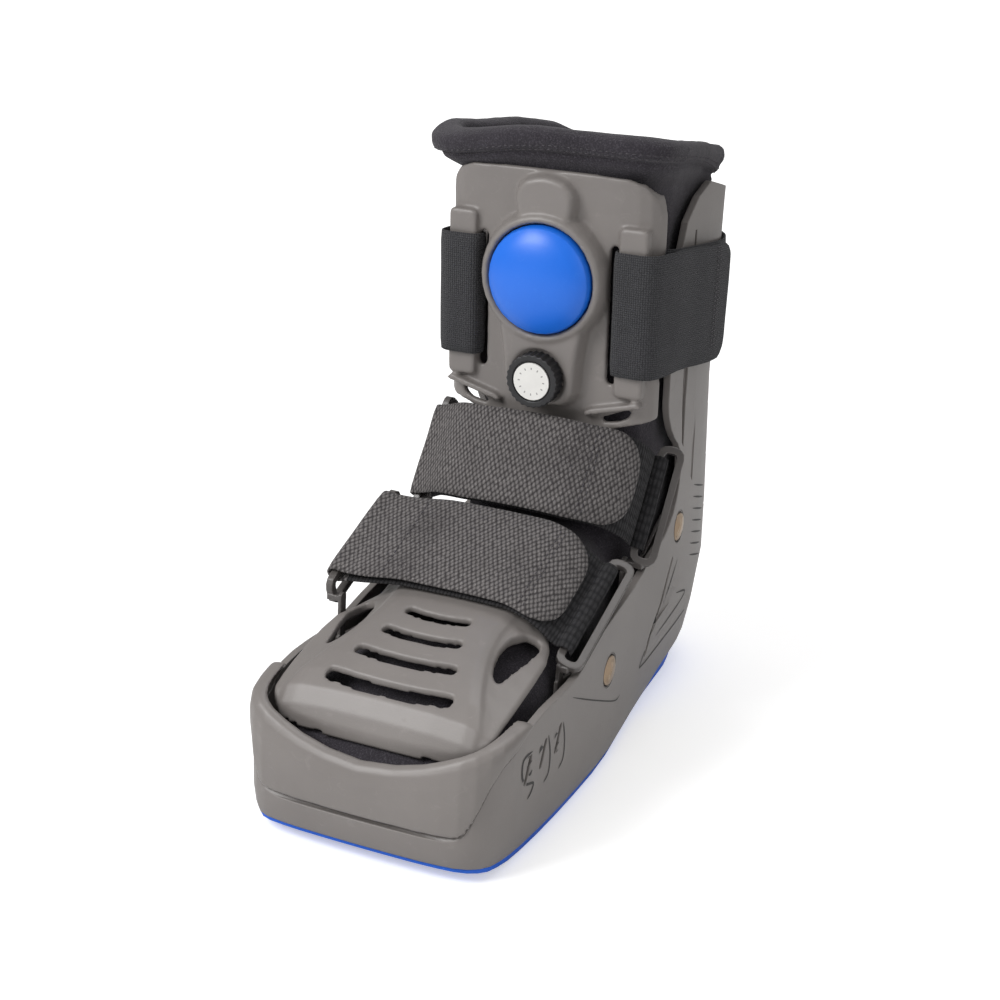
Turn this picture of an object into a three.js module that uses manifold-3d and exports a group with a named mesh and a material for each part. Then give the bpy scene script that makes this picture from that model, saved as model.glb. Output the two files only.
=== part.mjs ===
// Short walking boot for an injured ankle: a grey moulded shell with a padded
// liner, a foot panel, a shin panel with an air pump, and three wrap-round straps.
// Millimetres. +Z is up, the toe points to -Y, the heel to +Y, the sole stands on Z = 0.
import * as THREE from 'three';
import { mergeVertices } from 'three/addons/utils/BufferGeometryUtils.js';
import Module from 'manifold-3d';

const wasm = await Module();
wasm.setup();

// Main sizes
const toeFrontY = -148;
const heelBackY = 140;
const soleLength = heelBackY - toeFrontY;
const soleHalfWidth = 54;
const shellWall = 3;
const shellFloorZ = 14;
const pieceGap = 0.35;
const linerWall = 8;
const strapThickness = 1.6;
const strapLayerGap = 0.6;

// Colours and finishes
const finishes = {
  shellPlastic: { color: 0x9d948f, roughness: 0.55, metalness: 0 },
  soleRubber: { color: 0x2469d8, roughness: 0.75, metalness: 0 },
  bulbRubber: { color: 0x2f7fe6, roughness: 0.4, metalness: 0 },
  linerFabric: { color: 0x4b474c, roughness: 0.95, metalness: 0 },
  strapWebbing: { color: 0x6a6565, roughness: 0.9, metalness: 0 },
  knobPlastic: { color: 0x1b1b1d, roughness: 0.5, metalness: 0 },
  labelPlastic: { color: 0xe8e6e2, roughness: 0.5, metalness: 0 },
  boltMetal: { color: 0xb49a72, roughness: 0.35, metalness: 1 },
};
const materials = {};
for (const [name, values] of Object.entries(finishes)) {
  materials[name] = new THREE.MeshStandardMaterial({ name, ...values });
}

// Small maths
const clamp01 = (t) => Math.min(1, Math.max(0, t));
const lerp = (a, b, t) => a + (b - a) * t;
function smooth(from, to, value) {
  const t = clamp01((value - from) / (to - from));
  return t * t * (3 - 2 * t);
}

// Value of a table column at a key, straight between rows; the key is column 0.
function column(table, key, index) {
  if (key <= table[0][0]) return table[0][index];
  for (let row = 1; row < table.length; row += 1) {
    const [before, after] = [table[row - 1], table[row]];
    if (key <= after[0]) {
      const t = (key - before[0]) / (after[0] - before[0]);
      return lerp(before[index], after[index], t);
    }
  }
  return table[table.length - 1][index];
}

// Closed solid from a plain geometry
function solid(geometry) {
  geometry.deleteAttribute('normal');
  geometry.deleteAttribute('uv');
  const merged = mergeVertices(geometry, 1e-4);
  const mesh = new wasm.Mesh({
    numProp: 3,
    vertProperties: Float32Array.from(merged.attributes.position.array),
    triVerts: Uint32Array.from(merged.index.array),
  });
  mesh.merge();
  return new wasm.Manifold(mesh);
}

// Named piece from a solid
function piece(body, name, material) {
  const mesh = body.getMesh();
  const geometry = new THREE.BufferGeometry();
  geometry.setAttribute('position', new THREE.BufferAttribute(mesh.vertProperties, 3));
  geometry.setIndex(new THREE.BufferAttribute(mesh.triVerts, 1));
  geometry.computeVertexNormals();
  const made = new THREE.Mesh(geometry, material);
  made.name = name;
  return made;
}

// Closed solid through rings of [x, y, z]; the two end rings are capped in the plane
// of the two axes named in capAxes, or joined to each other when capAxes is null.
function loft(rings, capAxes) {
  const count = rings[0].length;
  const positions = rings.flat(2);
  const triangles = [];
  const bands = capAxes ? rings.length - 1 : rings.length;
  for (let r = 0; r < bands; r += 1) {
    const next = (r + 1) % rings.length;
    for (let i = 0; i < count; i += 1) {
      const j = (i + 1) % count;
      const corners = [r * count + i, r * count + j, next * count + j, next * count + i];
      triangles.push(corners[0], corners[1], corners[2], corners[0], corners[2], corners[3]);
    }
  }
  if (capAxes) {
    for (const end of [0, rings.length - 1]) {
      const flat = rings[end].map((p) => new THREE.Vector2(p[capAxes[0]], p[capAxes[1]]));
      const ringTurn = THREE.ShapeUtils.isClockWise(flat);
      for (const face of THREE.ShapeUtils.triangulateShape(flat, [])) {
        const faceTurn = THREE.ShapeUtils.isClockWise(face.map((index) => flat[index]));
        const flip = (faceTurn === ringTurn) === (end === 0);
        const corners = flip ? [face[0], face[2], face[1]] : face;
        triangles.push(...corners.map((index) => end * count + index));
      }
    }
  }
  orient(positions, triangles);
  const geometry = new THREE.BufferGeometry();
  geometry.setAttribute('position', new THREE.Float32BufferAttribute(positions, 3));
  geometry.setIndex(triangles);
  return solid(geometry);
}

// Turns all triangles over when they enclose a negative volume
function orient(positions, triangles) {
  let volume = 0;
  const at = (index) => new THREE.Vector3().fromArray(positions, index * 3);
  for (let t = 0; t < triangles.length; t += 3) {
    const [a, b, c] = [at(triangles[t]), at(triangles[t + 1]), at(triangles[t + 2])];
    volume += a.dot(b.cross(c));
  }
  if (volume < 0) triangles.reverse();
}

// Straight-sided solids from flat outlines; each is long enough in its own direction.
function outlineShape(points) {
  return new THREE.Shape(points.map(([u, v]) => new THREE.Vector2(u, v)));
}
function extruded(points, depth, basis) {
  const geometry = new THREE.ExtrudeGeometry(outlineShape(points), { depth, bevelEnabled: false });
  geometry.applyMatrix4(basis);
  return solid(geometry);
}
const axisX = new THREE.Vector3(1, 0, 0);
const axisY = new THREE.Vector3(0, 1, 0);
const axisZ = new THREE.Vector3(0, 0, 1);
function basisAt(u, v, w, origin) {
  return new THREE.Matrix4().makeBasis(u, v, w).setPosition(...origin);
}
// Outline in Y and Z, running along X
const sideCut = (points, fromX, toX) =>
  extruded(points, toX - fromX, basisAt(axisY, axisZ, axisX, [fromX, 0, 0]));
// Outline in X and Z, running along Y
const frontCut = (points, fromY, toY) =>
  extruded(points, toY - fromY, basisAt(axisX, axisZ, axisY.clone().negate(), [0, toY, 0]));
// Outline in X and Y, running along Z
const planCut = (points, fromZ, toZ) =>
  extruded(points, toZ - fromZ, basisAt(axisX, axisY, axisZ, [0, 0, fromZ]));

// Smooth open curve through flat points
function curved(points, steps) {
  const curve = new THREE.SplineCurve(points.map(([u, v]) => new THREE.Vector2(u, v)));
  return curve.getPoints(steps).map((p) => [p.x, p.y]);
}
// Both sides of an outline given for one side; points on the middle line stay single.
const mirrored = (half) => [
  ...half, ...half.filter(([u]) => Math.abs(u) > 0.001).map(([u, v]) => [-u, v]).reverse(),
];

// Unit directions that point into a closed outline, one for each of its points
function inwardNormals(outline) {
  const turned = THREE.ShapeUtils.isClockWise(outline.map(([u, v]) => ({ x: u, y: v }))) ? -1 : 1;
  return outline.map((_, index) => {
    const before = outline[(index + outline.length - 1) % outline.length];
    const after = outline[(index + 1) % outline.length];
    const along = new THREE.Vector2(after[0] - before[0], after[1] - before[1]).normalize();
    return [-along.y * turned, along.x * turned];
  });
}
// Raised pad with rolled edges: outline in X and Z, rows of Y and how far the edge moves in
function raisedPad(points, rows) {
  const inward = inwardNormals(points);
  const ringAt = ([y, inset]) => points.map(([x, z], index) =>
    [x + inward[index][0] * inset, y, z + inward[index][1] * inset]);
  return loft(rows.map(ringAt), [0, 2]);
}

function roundedRect(halfU, halfV, radius, arcSteps = 4) {
  const points = [];
  const corners = [[1, 1], [-1, 1], [-1, -1], [1, -1]];
  corners.forEach(([su, sv], corner) => {
    for (let step = 0; step <= arcSteps; step += 1) {
      const angle = (corner + step / arcSteps) * (Math.PI / 2);
      points.push([
        su * (halfU - radius) + radius * Math.cos(angle),
        sv * (halfV - radius) + radius * Math.sin(angle),
      ]);
    }
  });
  return points;
}

function cylinder(radius, length, segments, basis) {
  const geometry = new THREE.CylinderGeometry(radius, radius, length, segments);
  geometry.applyMatrix4(basis);
  return solid(geometry);
}

// Plan outline of the shell
// Share of the sole length from the toe, share of the widest half width.
const planTable = [
  [0, 0], [0.001, 0.37], [0.004, 0.6], [0.0104, 0.78], [0.026, 0.898], [0.05, 0.963],
  [0.087, 0.992], [0.132, 1], [0.219, 0.998], [0.3125, 0.978], [0.4167, 0.944],
  [0.514, 0.911], [0.611, 0.881], [0.715, 0.841], [0.819, 0.778], [0.889, 0.704],
  [0.941, 0.602], [0.976, 0.444], [0.995, 0.222], [1, 0],
];
const planSteps = 27;
const planHalf = curved(
  planTable.map(([along, half]) => [half * soleHalfWidth, toeFrontY + along * soleLength]),
  planSteps,
);
const planRing = [...planHalf, ...planHalf.slice(1, -1).map(([x, y]) => [-x, y]).reverse()];
const planInward = inwardNormals(planRing);

// How far the wall moves with height: heel shift in Y, low narrowing and high narrowing.
const heelShift = [
  [0, -13], [12, -8], [26, -3], [45, 0], [80, -2], [140, -8], [221, -8], [236, -7],
];
const lowNarrowTop = 55;
const lowNarrowToe = 0.03;
const lowNarrowHeel = 0.2;
const highNarrow = 0.05;
function wallPoint(index, inset, z) {
  const [baseX, baseY] = planRing[index];
  const along = (baseY - toeFrontY) / soleLength;
  const low = lerp(lowNarrowToe, lowNarrowHeel, smooth(0.4, 0.75, along));
  const lowShare = low * (1 - clamp01(z / lowNarrowTop)) ** 1.3;
  const highShare = highNarrow * smooth(60, 130, z) * smooth(0.4, 0.6, along);
  const [inX, inY] = planInward[index];
  return [
    baseX * (1 - lowShare) * (1 - highShare) + inX * inset,
    baseY + inY * inset + smooth(0.78, 1, along) * column(heelShift, z, 1),
    z,
  ];
}
const wallRing = (inset, z) => planRing.map((_, index) => wallPoint(index, inset, z));

// Side profiles, as Y and Z
const seamCurve = [
  [-117.5, 53.6], [-125.5, 48.6], [-134, 44.6], [-138.8, 38], [-142.5, 27], [-144.3, 19.8],
  [-146.2, 17.3],
];
const shellBottom = [
  [-162, 8], [-148, 7.2], [-132, 5], [-110, 4], [-60, 4], [-30, 3], [0, 2.6], [30, 3.4],
  [45, 8], [60, 13], [90, 17], [120, 20], [152, 24],
];
const shellTop = [
  [152, 218], [131, 221.5], [98, 226.5], [66, 232], [48, 227.5], [34, 218.5], [28, 206],
];
const shellFront = curved([
  [28, 206], [26.5, 176], [27, 149], [30, 137], [38, 127.5], [47, 121], [51.5, 113], [50.5, 104],
  [45, 94], [36, 87], [25, 83], [12, 80.5], [-2, 76], [-20, 72.5], [-42, 69], [-58, 64],
  [-68, 60.5], [-78, 58.3], [-92, 57.6], [-106, 56.4], [-117.5, 53.6],
], 34);
const shellProfile = [
  ...shellBottom, ...shellTop, ...shellFront.slice(1), ...seamCurve.slice(1), [-162, 17.3],
];

// Rear shell: sole tray, side walls and upright in one moulding
const shellLevels = [[0, 5], [4, 2.2], [9, 0.8], [16, 0], [32, 0], [55, 0], [80, 0], [140, 0],
  [221, 0], [236, 0]];
const shellOuter = loft(shellLevels.map(([z, inset]) => wallRing(inset, z)), [0, 1]);
const hollowLevels = [shellFloorZ, 20, 32, 55, 80, 140, 221, 240];
const shellHollow = loft(
  hollowLevels.map((z, row) => wallRing(shellWall + (row === 0 ? 3 : 0), z)),
  [0, 1],
);
const wide = soleHalfWidth * 2;
// Inside floor of the tray, which rises over the thick heel of the sole
const floorCurve = [[-170, shellFloorZ], [26, shellFloorZ], [40, 16], [60, 20], [90, 23.5], [120, 26],
  [160, 29]];
const heelFloorLift = sideCut([...floorCurve, [160, 0], [-170, 0]].reverse(), -wide, wide);

// Slots and grooves that are cut through or into the side walls
const boltSpots = {
  foot: { y: -34, z: 47.5 },
  ankle: { y: 53, z: 83.3 },
};
const boltHead = { radius: 6.2, height: 1.6 };
const boltShank = { radius: 3, length: 5.2 };
const wallHalfWidthAt = (y, z) => {
  let best = 0;
  for (let index = 0; index < planSteps; index += 1) {
    const [a, b] = [wallPoint(index, 0, z), wallPoint(index + 1, 0, z)];
    if (y >= a[1] && y <= b[1]) best = lerp(a[0], b[0], (y - a[1]) / (b[1] - a[1]));
  }
  return best;
};
const ventSpots = [[-115.5, 37.5], [-102.5, 39], [-89, 40]];
const ventSize = { halfLength: 5.6, halfWidth: 1.3, lean: 0.35 };
const grooveDepth = 1;
const ribCount = 4;
const sideGrooves = [
  [[46, 214], [46, 150], [50.5, 122], [53.5, 119], [53, 150], [48.6, 214]],
  [[69, 216], [69, 102], [72.5, 99], [72.5, 216]],
];
const triangleMark = { outer: [[45, 72], [47, 71], [24, 42], [21, 35], [17.5, 34], [20, 42]],
  inner: [[44, 58], [61, 53], [22, 45]] };

function sideDetail() {
  const cutters = [];
  for (const side of [1, -1]) {
    for (const points of sideGrooves) {
      const face = wallHalfWidthAt(58, 170) - grooveDepth;
      const block = side > 0 ? sideCut(points, face, wide) : sideCut(points, -wide, -face);
      cutters.push(block);
    }
    for (const points of [triangleMark.outer, triangleMark.inner]) {
      const face = wallHalfWidthAt(38, 52) - grooveDepth;
      const block = side > 0 ? sideCut(points, face, wide) : sideCut(points, -wide, -face);
      cutters.push(block);
    }
    for (const [y, z] of ventSpots) {
      const outline = roundedRect(ventSize.halfWidth, ventSize.halfLength, ventSize.halfWidth)
        .map(([u, v]) => [y + u + v * ventSize.lean, z + v]);
      const reach = side > 0 ? [soleHalfWidth - 8, wide] : [-wide, 8 - soleHalfWidth];
      cutters.push(sideCut(outline, ...reach));
    }
    for (const spot of Object.values(boltSpots)) {
      const face = wallHalfWidthAt(spot.y, spot.z);
      const turn = basisAt(axisY, axisX, axisZ.clone().negate(), [side * face, spot.y, spot.z]);
      cutters.push(cylinder(boltShank.radius + pieceGap, 16, 12, turn));
      const sunk = basisAt(axisY, axisX, axisZ.clone().negate(),
        [side * (face + 2.4), spot.y, spot.z]);
      cutters.push(cylinder(boltHead.radius + 0.8, 7, 16, sunk));
    }
  }
  // Ribs across the rounded back corners: shallow steps one under another
  for (let rib = 0; rib < ribCount; rib += 1) {
    const z = 51.2 + rib * 24.7;
    cutters.push(planCut([[28, 150], [33.3, 107.2], [60, 110.6], [60, 150]], z, z + 1.4)
      .subtract(shellRibCore));
    cutters.push(planCut([[-28, 150], [-60, 150], [-60, 110.6], [-33.3, 107.2]], z, z + 1.4)
      .subtract(shellRibCore));
  }
  return cutters;
}
const shellRibCore = loft(shellLevels.slice(2).map(([z]) => wallRing(0.9, z)), [0, 1]);
const shellProfileSolid = sideCut(shellProfile, -wide, wide);

function makeRearShell() {
  let shell = shellOuter.intersect(shellProfileSolid).subtract(shellHollow.subtract(heelFloorLift));
  for (const cutter of sideDetail()) shell = shell.subtract(cutter);
  // Dip of the back wall between the two ears at the top
  const dip = curved([[-31, 240], [-29, 222], [-22, 212], [0, 208], [22, 212], [29, 222], [31, 240]],
    12);
  shell = shell.subtract(frontCut(dip, 96, 170));

  return shell;
}
const rearShell = piece(makeRearShell(), 'rear_shell', materials.shellPlastic);

// Outsole: rubber tread under the tray, thick at the heel
const soleInset = 2.6;
const soleBottomCurve = [
  [-162, 6.6], [-146, 5.2], [-132, 2.6], [-118, 0.8], [-104, 0], [104, 0], [118, 1.6], [132, 5.4],
  [152, 13],
];
const soleTopCurve = shellBottom.map(([y, z]) => [y, z - pieceGap]).reverse();
function makeOutsole() {
  const rings = [0, 3, 8, 14, 24].map((z) => wallRing(soleInset + (z === 0 ? 1 : 0), z));
  let sole = loft(rings, [0, 1]);
  sole = sole.intersect(sideCut([...soleBottomCurve, ...soleTopCurve], -wide, wide));
  const treadCount = 10;
  for (let tread = 0; tread < treadCount; tread += 1) {
    const y = lerp(-128, 118, tread / (treadCount - 1));
    const reach = wallHalfWidthAt(y, 4) * 0.72;
    const base = column(soleBottomCurve, y, 1);
    const shape = [
      [-reach, y - 1.2], [0, y + 3.8], [reach, y - 1.2], [reach, y + 1.2], [0, y + 6.2],
      [-reach, y + 1.2],
    ];
    sole = sole.subtract(planCut(shape, -5, base + 1.1));
  }
  return sole;
}
const outsole = piece(makeOutsole(), 'outsole', materials.soleRubber);

// Toe bumper: rolled wall round the toe, standing on the seam of the tray
// Share of the half path from the middle of the toe, height of the rim.
const rimTable = [
  [0, 39], [0.12, 39.6], [0.28, 42.2], [0.44, 47], [0.56, 50.8], [0.66, 53], [0.8, 55.4],
  [0.93, 57.2], [0.975, 56.8], [1, 55.2],
];
// Section of the wall: share of the way up from the seam to the rim, distance outward.
const bumperSection = [
  [-0.35, 0.2], [0, 0.5], [0.3, 1.1], [0.65, 1.2], [0.86, 0.4], [0.96, -1.1], [1, -3.2],
  [0.98, -5], [0.93, -5.6], [0.87, -4.9], [0.8, -3.6], [0.6, -2.6], [-0.35, -2.6],
];
function makeBumper() {
  const endY = -114.6;
  const sideStations = planHalf.filter(([, y]) => y < endY - 3);
  const halfPath = [...sideStations.map(([x, y], index) => ({ x, y, index }))];
  const last = planHalf.findIndex(([, y]) => y >= endY - 3);
  const [before, after] = [planHalf[last - 1], planHalf[last]];
  const endShares = [0.35, 0.7, 1].map((t) => lerp(before[1], endY, t));
  for (const y of endShares) {
    const t = (y - before[1]) / (after[1] - before[1]);
    halfPath.push({ x: lerp(before[0], after[0], t), y, index: last - 1 });
  }
  let length = 0;
  const travelled = halfPath.map((point, index) => {
    if (index > 0) {
      const previous = halfPath[index - 1];
      length += Math.hypot(point.x - previous.x, point.y - previous.y);
    }
    return length;
  });
  const sectionAt = (point, share, side) => {
    const rim = column(rimTable, share, 1);
    const seam = seamHeight(point.y);
    const [inX, inY] = planInward[point.index];
    return bumperSection.map(([up, out]) => [
      side * (point.x - inX * out),
      point.y - inY * out,
      lerp(seam, rim, up),
    ]);
  };
  const right = halfPath.map((point, index) => sectionAt(point, travelled[index] / length, 1));
  const left = halfPath.slice(1).map((point, index) =>
    sectionAt(point, travelled[index + 1] / length, -1));
  const rings = [...left.reverse(), ...right];
  const below = [
    ...seamCurve.map(([y, z]) => [y - 0.25, z + pieceGap]), [-175, 17.3 + pieceGap], [-175, -20],
    [-90, -20], [-90, 58.2 + pieceGap], [-106, 57 + pieceGap], [-113, 55.4 + pieceGap],
  ];
  return loft(rings, [1, 2]).subtract(sideCut(below, -wide, wide));
}
function seamHeight(y) {
  return column([...seamCurve].reverse(), y, 1);
}
const toeBumper = piece(makeBumper(), 'toe_bumper', materials.shellPlastic);

// Foot panel: arched cover over the toes that narrows to a tongue up the instep
// Y, height of the middle, crease half width, outer half width, outer height.
const footPanelTable = [
  [-137.4, 46.4, 38, 43, 45], [-135, 52, 40, 45.6, 49], [-131, 58, 40, 46.4, 52],
  [-124, 63.4, 37, 46.6, 55], [-116, 67.6, 33.4, 46.8, 57.8], [-106, 71.6, 29.8, 46.8, 61],
  [-96, 74.8, 27, 46.6, 64], [-86, 77.6, 25.6, 45.8, 66.4], [-76, 80, 25.6, 42.6, 67.4],
  [-66, 83, 26, 37.4, 70.6], [-54, 88.2, 26, 33.6, 80.4], [-42, 93.6, 24, 31, 86.6],
  [-31, 98.6, 23, 29, 92.4], [-22, 102, 20, 26, 96.6],
];
const footPanelThickness = 2.8;
const creaseDrop = 1.3;
const footSlots = [[-125, 25.4], [-112.6, 20.3], [-99.8, 15.8], [-86.8, 12.9]];
const footSlotWidth = 4.7;
const footWindow = [
  [35.6, -108.5], [33, -106], [30.6, -100], [29.2, -92], [29.8, -84], [33, -77], [37, -75.5],
  [39, -77], [40.8, -83], [39.8, -92], [37.8, -102], [36.8, -107.5],
];
function footPanelSection([y, middle, crease, outer, low]) {
  const half = [
    [0, middle], [crease * 0.55, middle - creaseDrop * 0.25], [crease * 0.88, middle - creaseDrop],
    [crease, middle - creaseDrop * 1.9], [crease + 1.4, middle - creaseDrop * 2.9],
    [lerp(crease, outer, 0.55), lerp(middle - creaseDrop * 3, low, 0.42)],
    [outer - 1, lerp(middle, low, 0.86)], [outer, low],
  ];
  const top = mirrored(half.reverse());
  const deep = footPanelThickness + 2.6 * (1 - smooth(-137, -125, y));
  const under = top.map(([x, z]) => [x * (1 - 2.2 / outer), z - deep]).reverse();
  return [...top, ...under].map(([x, z]) => [x, y, z]);
}
function makeFootPanel() {
  let panel = loft(footPanelTable.map(footPanelSection), [0, 2]);
  const front = toeFrontY + 10.6;
  const outline = mirrored([
    [0, front], [20, front + 0.3], [34, front + 1], [40.6, front + 2.4], [44.8, front + 5.4],
    [46.8, front + 10], [47.4, front + 17], [47.4, -70], [30, -17], [20, -14.5], [8, -13.6],
    [0, -13.4],
  ]);
  panel = panel.intersect(planCut(outline, 20, 130));
  for (const [y, reach] of footSlots) {
    const arc = [-1, -0.5, 0, 0.5, 1].map((t) => [t * reach, y - 1.8 * (1 - t * t)]);
    const band = [
      ...arc.map(([x, at]) => [x, at - footSlotWidth / 2]),
      [reach + 1.2, y], ...arc.map(([x, at]) => [x, at + footSlotWidth / 2]).reverse(),
      [-reach - 1.2, y],
    ];
    panel = panel.subtract(planCut(band, 20, 130));
  }
  for (const side of [1, -1]) {
    panel = panel.subtract(planCut(footWindow.map(([x, y]) => [side * x, y]), 20, 130));
  }
  return panel;
}
const footPanel = piece(makeFootPanel(), 'foot_panel', materials.shellPlastic);

// Shin panel: built upright about its own pivot, then leaned toward the toe
const shinLean = THREE.MathUtils.degToRad(4.6);
const shinPivot = { y: -1.6, z: 181 };
const shinThickness = 2.8;
const valveZ = 155.5 - shinPivot.z;
const bulbZ = 196.3 - shinPivot.z;
const bulbRadius = 22.2;
const bulbSeatDepth = 5;
const housingHeight = 8;
const shinTop = 239.5 - shinPivot.z;
const shinBottom = 112 - shinPivot.z;
// Height, how far the plate moves toward the toe.
const shinBend = [
  [shinBottom, 2.6], [126 - shinPivot.z, 0.8], [136 - shinPivot.z, 0], [224 - shinPivot.z, 0],
  [234 - shinPivot.z, 1], [shinTop + 4, 2.6],
];
// Plate half section from the middle outward: X, and Y behind the middle.
const shinPlate = [[0, 0], [18, 0], [31, 0.3], [38, 1.2], [42.6, 3.4], [45.4, 7], [46.4, 11]];
function makeShinPanel() {
  const outerFace = mirrored([...shinPlate].reverse());
  const innerFace = outerFace.map(([x, y]) => [x * (1 - shinThickness / 46), y + shinThickness])
    .reverse();
  const section = [...outerFace, ...innerFace];
  const rings = shinBend.map(([z, forward]) => section.map(([x, y]) => [x, y - forward, z]));
  let plate = loft(rings, [0, 1]);
  const outlineHalf = [
    [0, shinTop], [20, shinTop - 0.1], [34, shinTop - 0.8], [40, shinTop - 3], [44, shinTop - 8],
    [47, 40.5], [47.2, 33], [46, 28.5], [44.8, 24], [44.6, -17], [45.6, -24], [47, -27],
    [47, -38.4], [45.6, -41.2], [37.4, -43], [28, -46], [22, -58], [15, -66], [0, shinBottom + 1],
  ];
  plate = plate.intersect(frontCut(mirrored(outlineHalf), -60, 40));
  // Raised bars beside the slots, and the low ledge under them
  for (const side of [1, -1]) {
    const bar = roundedRect(6.2, 34.8, 2, 3).map(([x, z]) => [side * (37.3 + x), z + 4.2]);
    plate = plate.add(raisedPad(bar, [[2.4, 0], [-1.8, 0], [-2.5, 0.8]]));
    const ledge = [[18.6, -38.6], [21.4, -36.8], [42, -31.4], [43.8, -33.4], [22.4, -39],
      [20, -40.4]].map(([x, z]) => [side * x, z]);
    plate = plate.add(frontCut(side > 0 ? ledge : ledge.reverse(), -3.4, 1.6));
  }
  // Pump housing: bulb seat, air channel above it and valve lobe below it
  const lobe = curved([[0, -37.4], [10, -36.6], [15.4, -31.4], [16.4, -20], [18.5, -6], [21, 6]], 10);
  const channel = curved([[0, 57], [8, 55.4], [12.6, 50.5], [12.6, 44], [11.6, 38], [13, 30]], 9);
  const padRows = (height) => [[1, -1.6], [-height * 0.5, 0], [-height + 1.2, 0.8], [-height, 2]];
  const housingParts = [
    raisedPad(mirrored(lobe), padRows(housingHeight - 0.6)),
    raisedPad(mirrored(channel), padRows(housingHeight - 1.6)),
  ];
  const seatProfile = [
    [0, -1.2], [28.6, -1.2], [27.8, 2], [26.8, 5.6], [25.6, housingHeight], [24.3, housingHeight + 0.6],
    [23, housingHeight], [bulbRadius + 0.4, housingHeight - bulbSeatDepth],
    [0, housingHeight - bulbSeatDepth],
  ];
  const seat = new THREE.LatheGeometry(seatProfile.map(([u, v]) => new THREE.Vector2(u, v)), 32);
  seat.applyMatrix4(basisAt(axisX, axisY.clone().negate(), axisZ.clone().negate(), [0, 0, bulbZ]));
  const well = cylinder(bulbRadius + 0.4, 20, 32,
    basisAt(axisX, axisY, axisZ, [0, -housingHeight + bulbSeatDepth - 10, bulbZ]));
  for (const part of housingParts) plate = plate.add(part.subtract(well));
  plate = plate.add(solid(seat));
  const pocket = cylinder(12, 10, 32, basisAt(axisX, axisY, axisZ, [0, valveFloorY - 5, valveZ]));
  plate = plate.subtract(pocket);
  for (const side of [1, -1]) {
    const slot = roundedRect(1.9, 28.6, 1.7, 2).map(([x, z]) => [side * (28.8 + x), z + 2.2]);
    plate = plate.subtract(frontCut(slot, -20, 12));
    const hole = [[25.4, -40.8], [26.4, -42.6], [33, -41.6], [36.8, -39.6], [38.2, -36.4], [36.8, -36]]
      .map(([x, z]) => [side * x, z]);
    plate = plate.subtract(frontCut(side > 0 ? hole : hole.reverse(), -30, 20));
  }
  return plate;
}
const valveFloorY = -housingHeight + 2.2;
function placeOnShin(mesh) {
  mesh.rotation.x = shinLean;
  mesh.position.set(0, shinPivot.y, shinPivot.z);
  return mesh;
}
const shinPanel = placeOnShin(piece(makeShinPanel(), 'shin_panel', materials.shellPlastic));

// Pump bulb: squeeze dome in its seat
const bulbRise = 8.5;
function makeBulb() {
  const profile = [[0, 0], [bulbRadius, 0], [bulbRadius, bulbSeatDepth - 0.6]];
  const domeRows = 6;
  for (let row = 1; row <= domeRows; row += 1) {
    const angle = (row / domeRows) * (Math.PI / 2);
    profile.push([bulbRadius * Math.cos(angle), bulbSeatDepth - 0.6 + bulbRise * Math.sin(angle)]);
  }
  profile[profile.length - 1][0] = 0;
  const geometry = new THREE.LatheGeometry(profile.map(([u, v]) => new THREE.Vector2(u, v)), 32);
  const floor = -housingHeight + bulbSeatDepth - pieceGap;
  geometry.applyMatrix4(
    basisAt(axisX, axisY.clone().negate(), axisZ.clone().negate(), [0, floor, bulbZ]),
  );
  return solid(geometry);
}
const pumpBulb = placeOnShin(piece(makeBulb(), 'pump_bulb', materials.bulbRubber));

// Valve: turning knob with a ribbed rim and a white disc
const knob = { radius: 11.2, height: 7.2, ribs: 26, ribDepth: 0.55, rimInner: 8.6, dishDepth: 1 };
const labelDisc = { radius: 7.8, thickness: 0.8 };
function makeKnob() {
  const points = [];
  for (let step = 0; step < knob.ribs * 2; step += 1) {
    const radius = knob.radius - (step % 2 ? knob.ribDepth : 0);
    const angle = (step / (knob.ribs * 2)) * 2 * Math.PI;
    points.push([radius * Math.cos(angle), valveZ + radius * Math.sin(angle)]);
  }
  const back = valveFloorY - pieceGap;
  const body = frontCut(points, back - knob.height, back);
  const dish = cylinder(knob.rimInner, 4, 32,
    basisAt(axisX, axisY, axisZ, [0, back - knob.height + knob.dishDepth - 2, valveZ]));
  return body.subtract(dish);
}
const valveKnob = placeOnShin(piece(makeKnob(), 'valve_knob', materials.knobPlastic));
const labelY = valveFloorY - pieceGap - knob.height + knob.dishDepth - pieceGap;
const valveLabel = placeOnShin(piece(
  cylinder(labelDisc.radius, labelDisc.thickness, 32,
    basisAt(axisX, axisY, axisZ, [0, labelY - labelDisc.thickness / 2, valveZ])),
  'valve_label', materials.labelPlastic,
));

// Liner: padded sock boot with an open leg, hollow from the rim to the toes
// Height, half width, front Y, back Y of the leg.
const legTable = [
  [15, 24, 2, 104], [22, 31, -4, 111], [34, 36, -8, 118], [60, 39, -10, 120],
  [97, 39.6, -9, 115], [111, 39.6, 5, 112], [150, 39.8, 4.7, 107], [200, 40.2, 0.5, 107],
  [224, 40.6, -1.4, 109], [234, 42, -2.6, 111], [241, 47, -4.8, 112], [246, 49.6, -9.4, 113.5],
  [266, 51.4, -13, 116],
];
// Y, half width, underside and top of the foot.
const footTable = [
  [-141, 38, 19.5, 35], [-136, 43, 15.6, 41], [-124, 45.4, 14.6, 50.6], [-106, 46, 14.6, 58.6],
  [-80, 45.4, 14.6, 68.6], [-52, 42, 14.6, 82], [-26, 39, 15, 94], [-12, 38, 17, 98], [6, 34, 20, 100],
];
const legBackNarrow = 0.13;
const linerSteps = 22;
const rounding = { leg: 3.4, rim: 6, foot: 2.7 };
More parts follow.
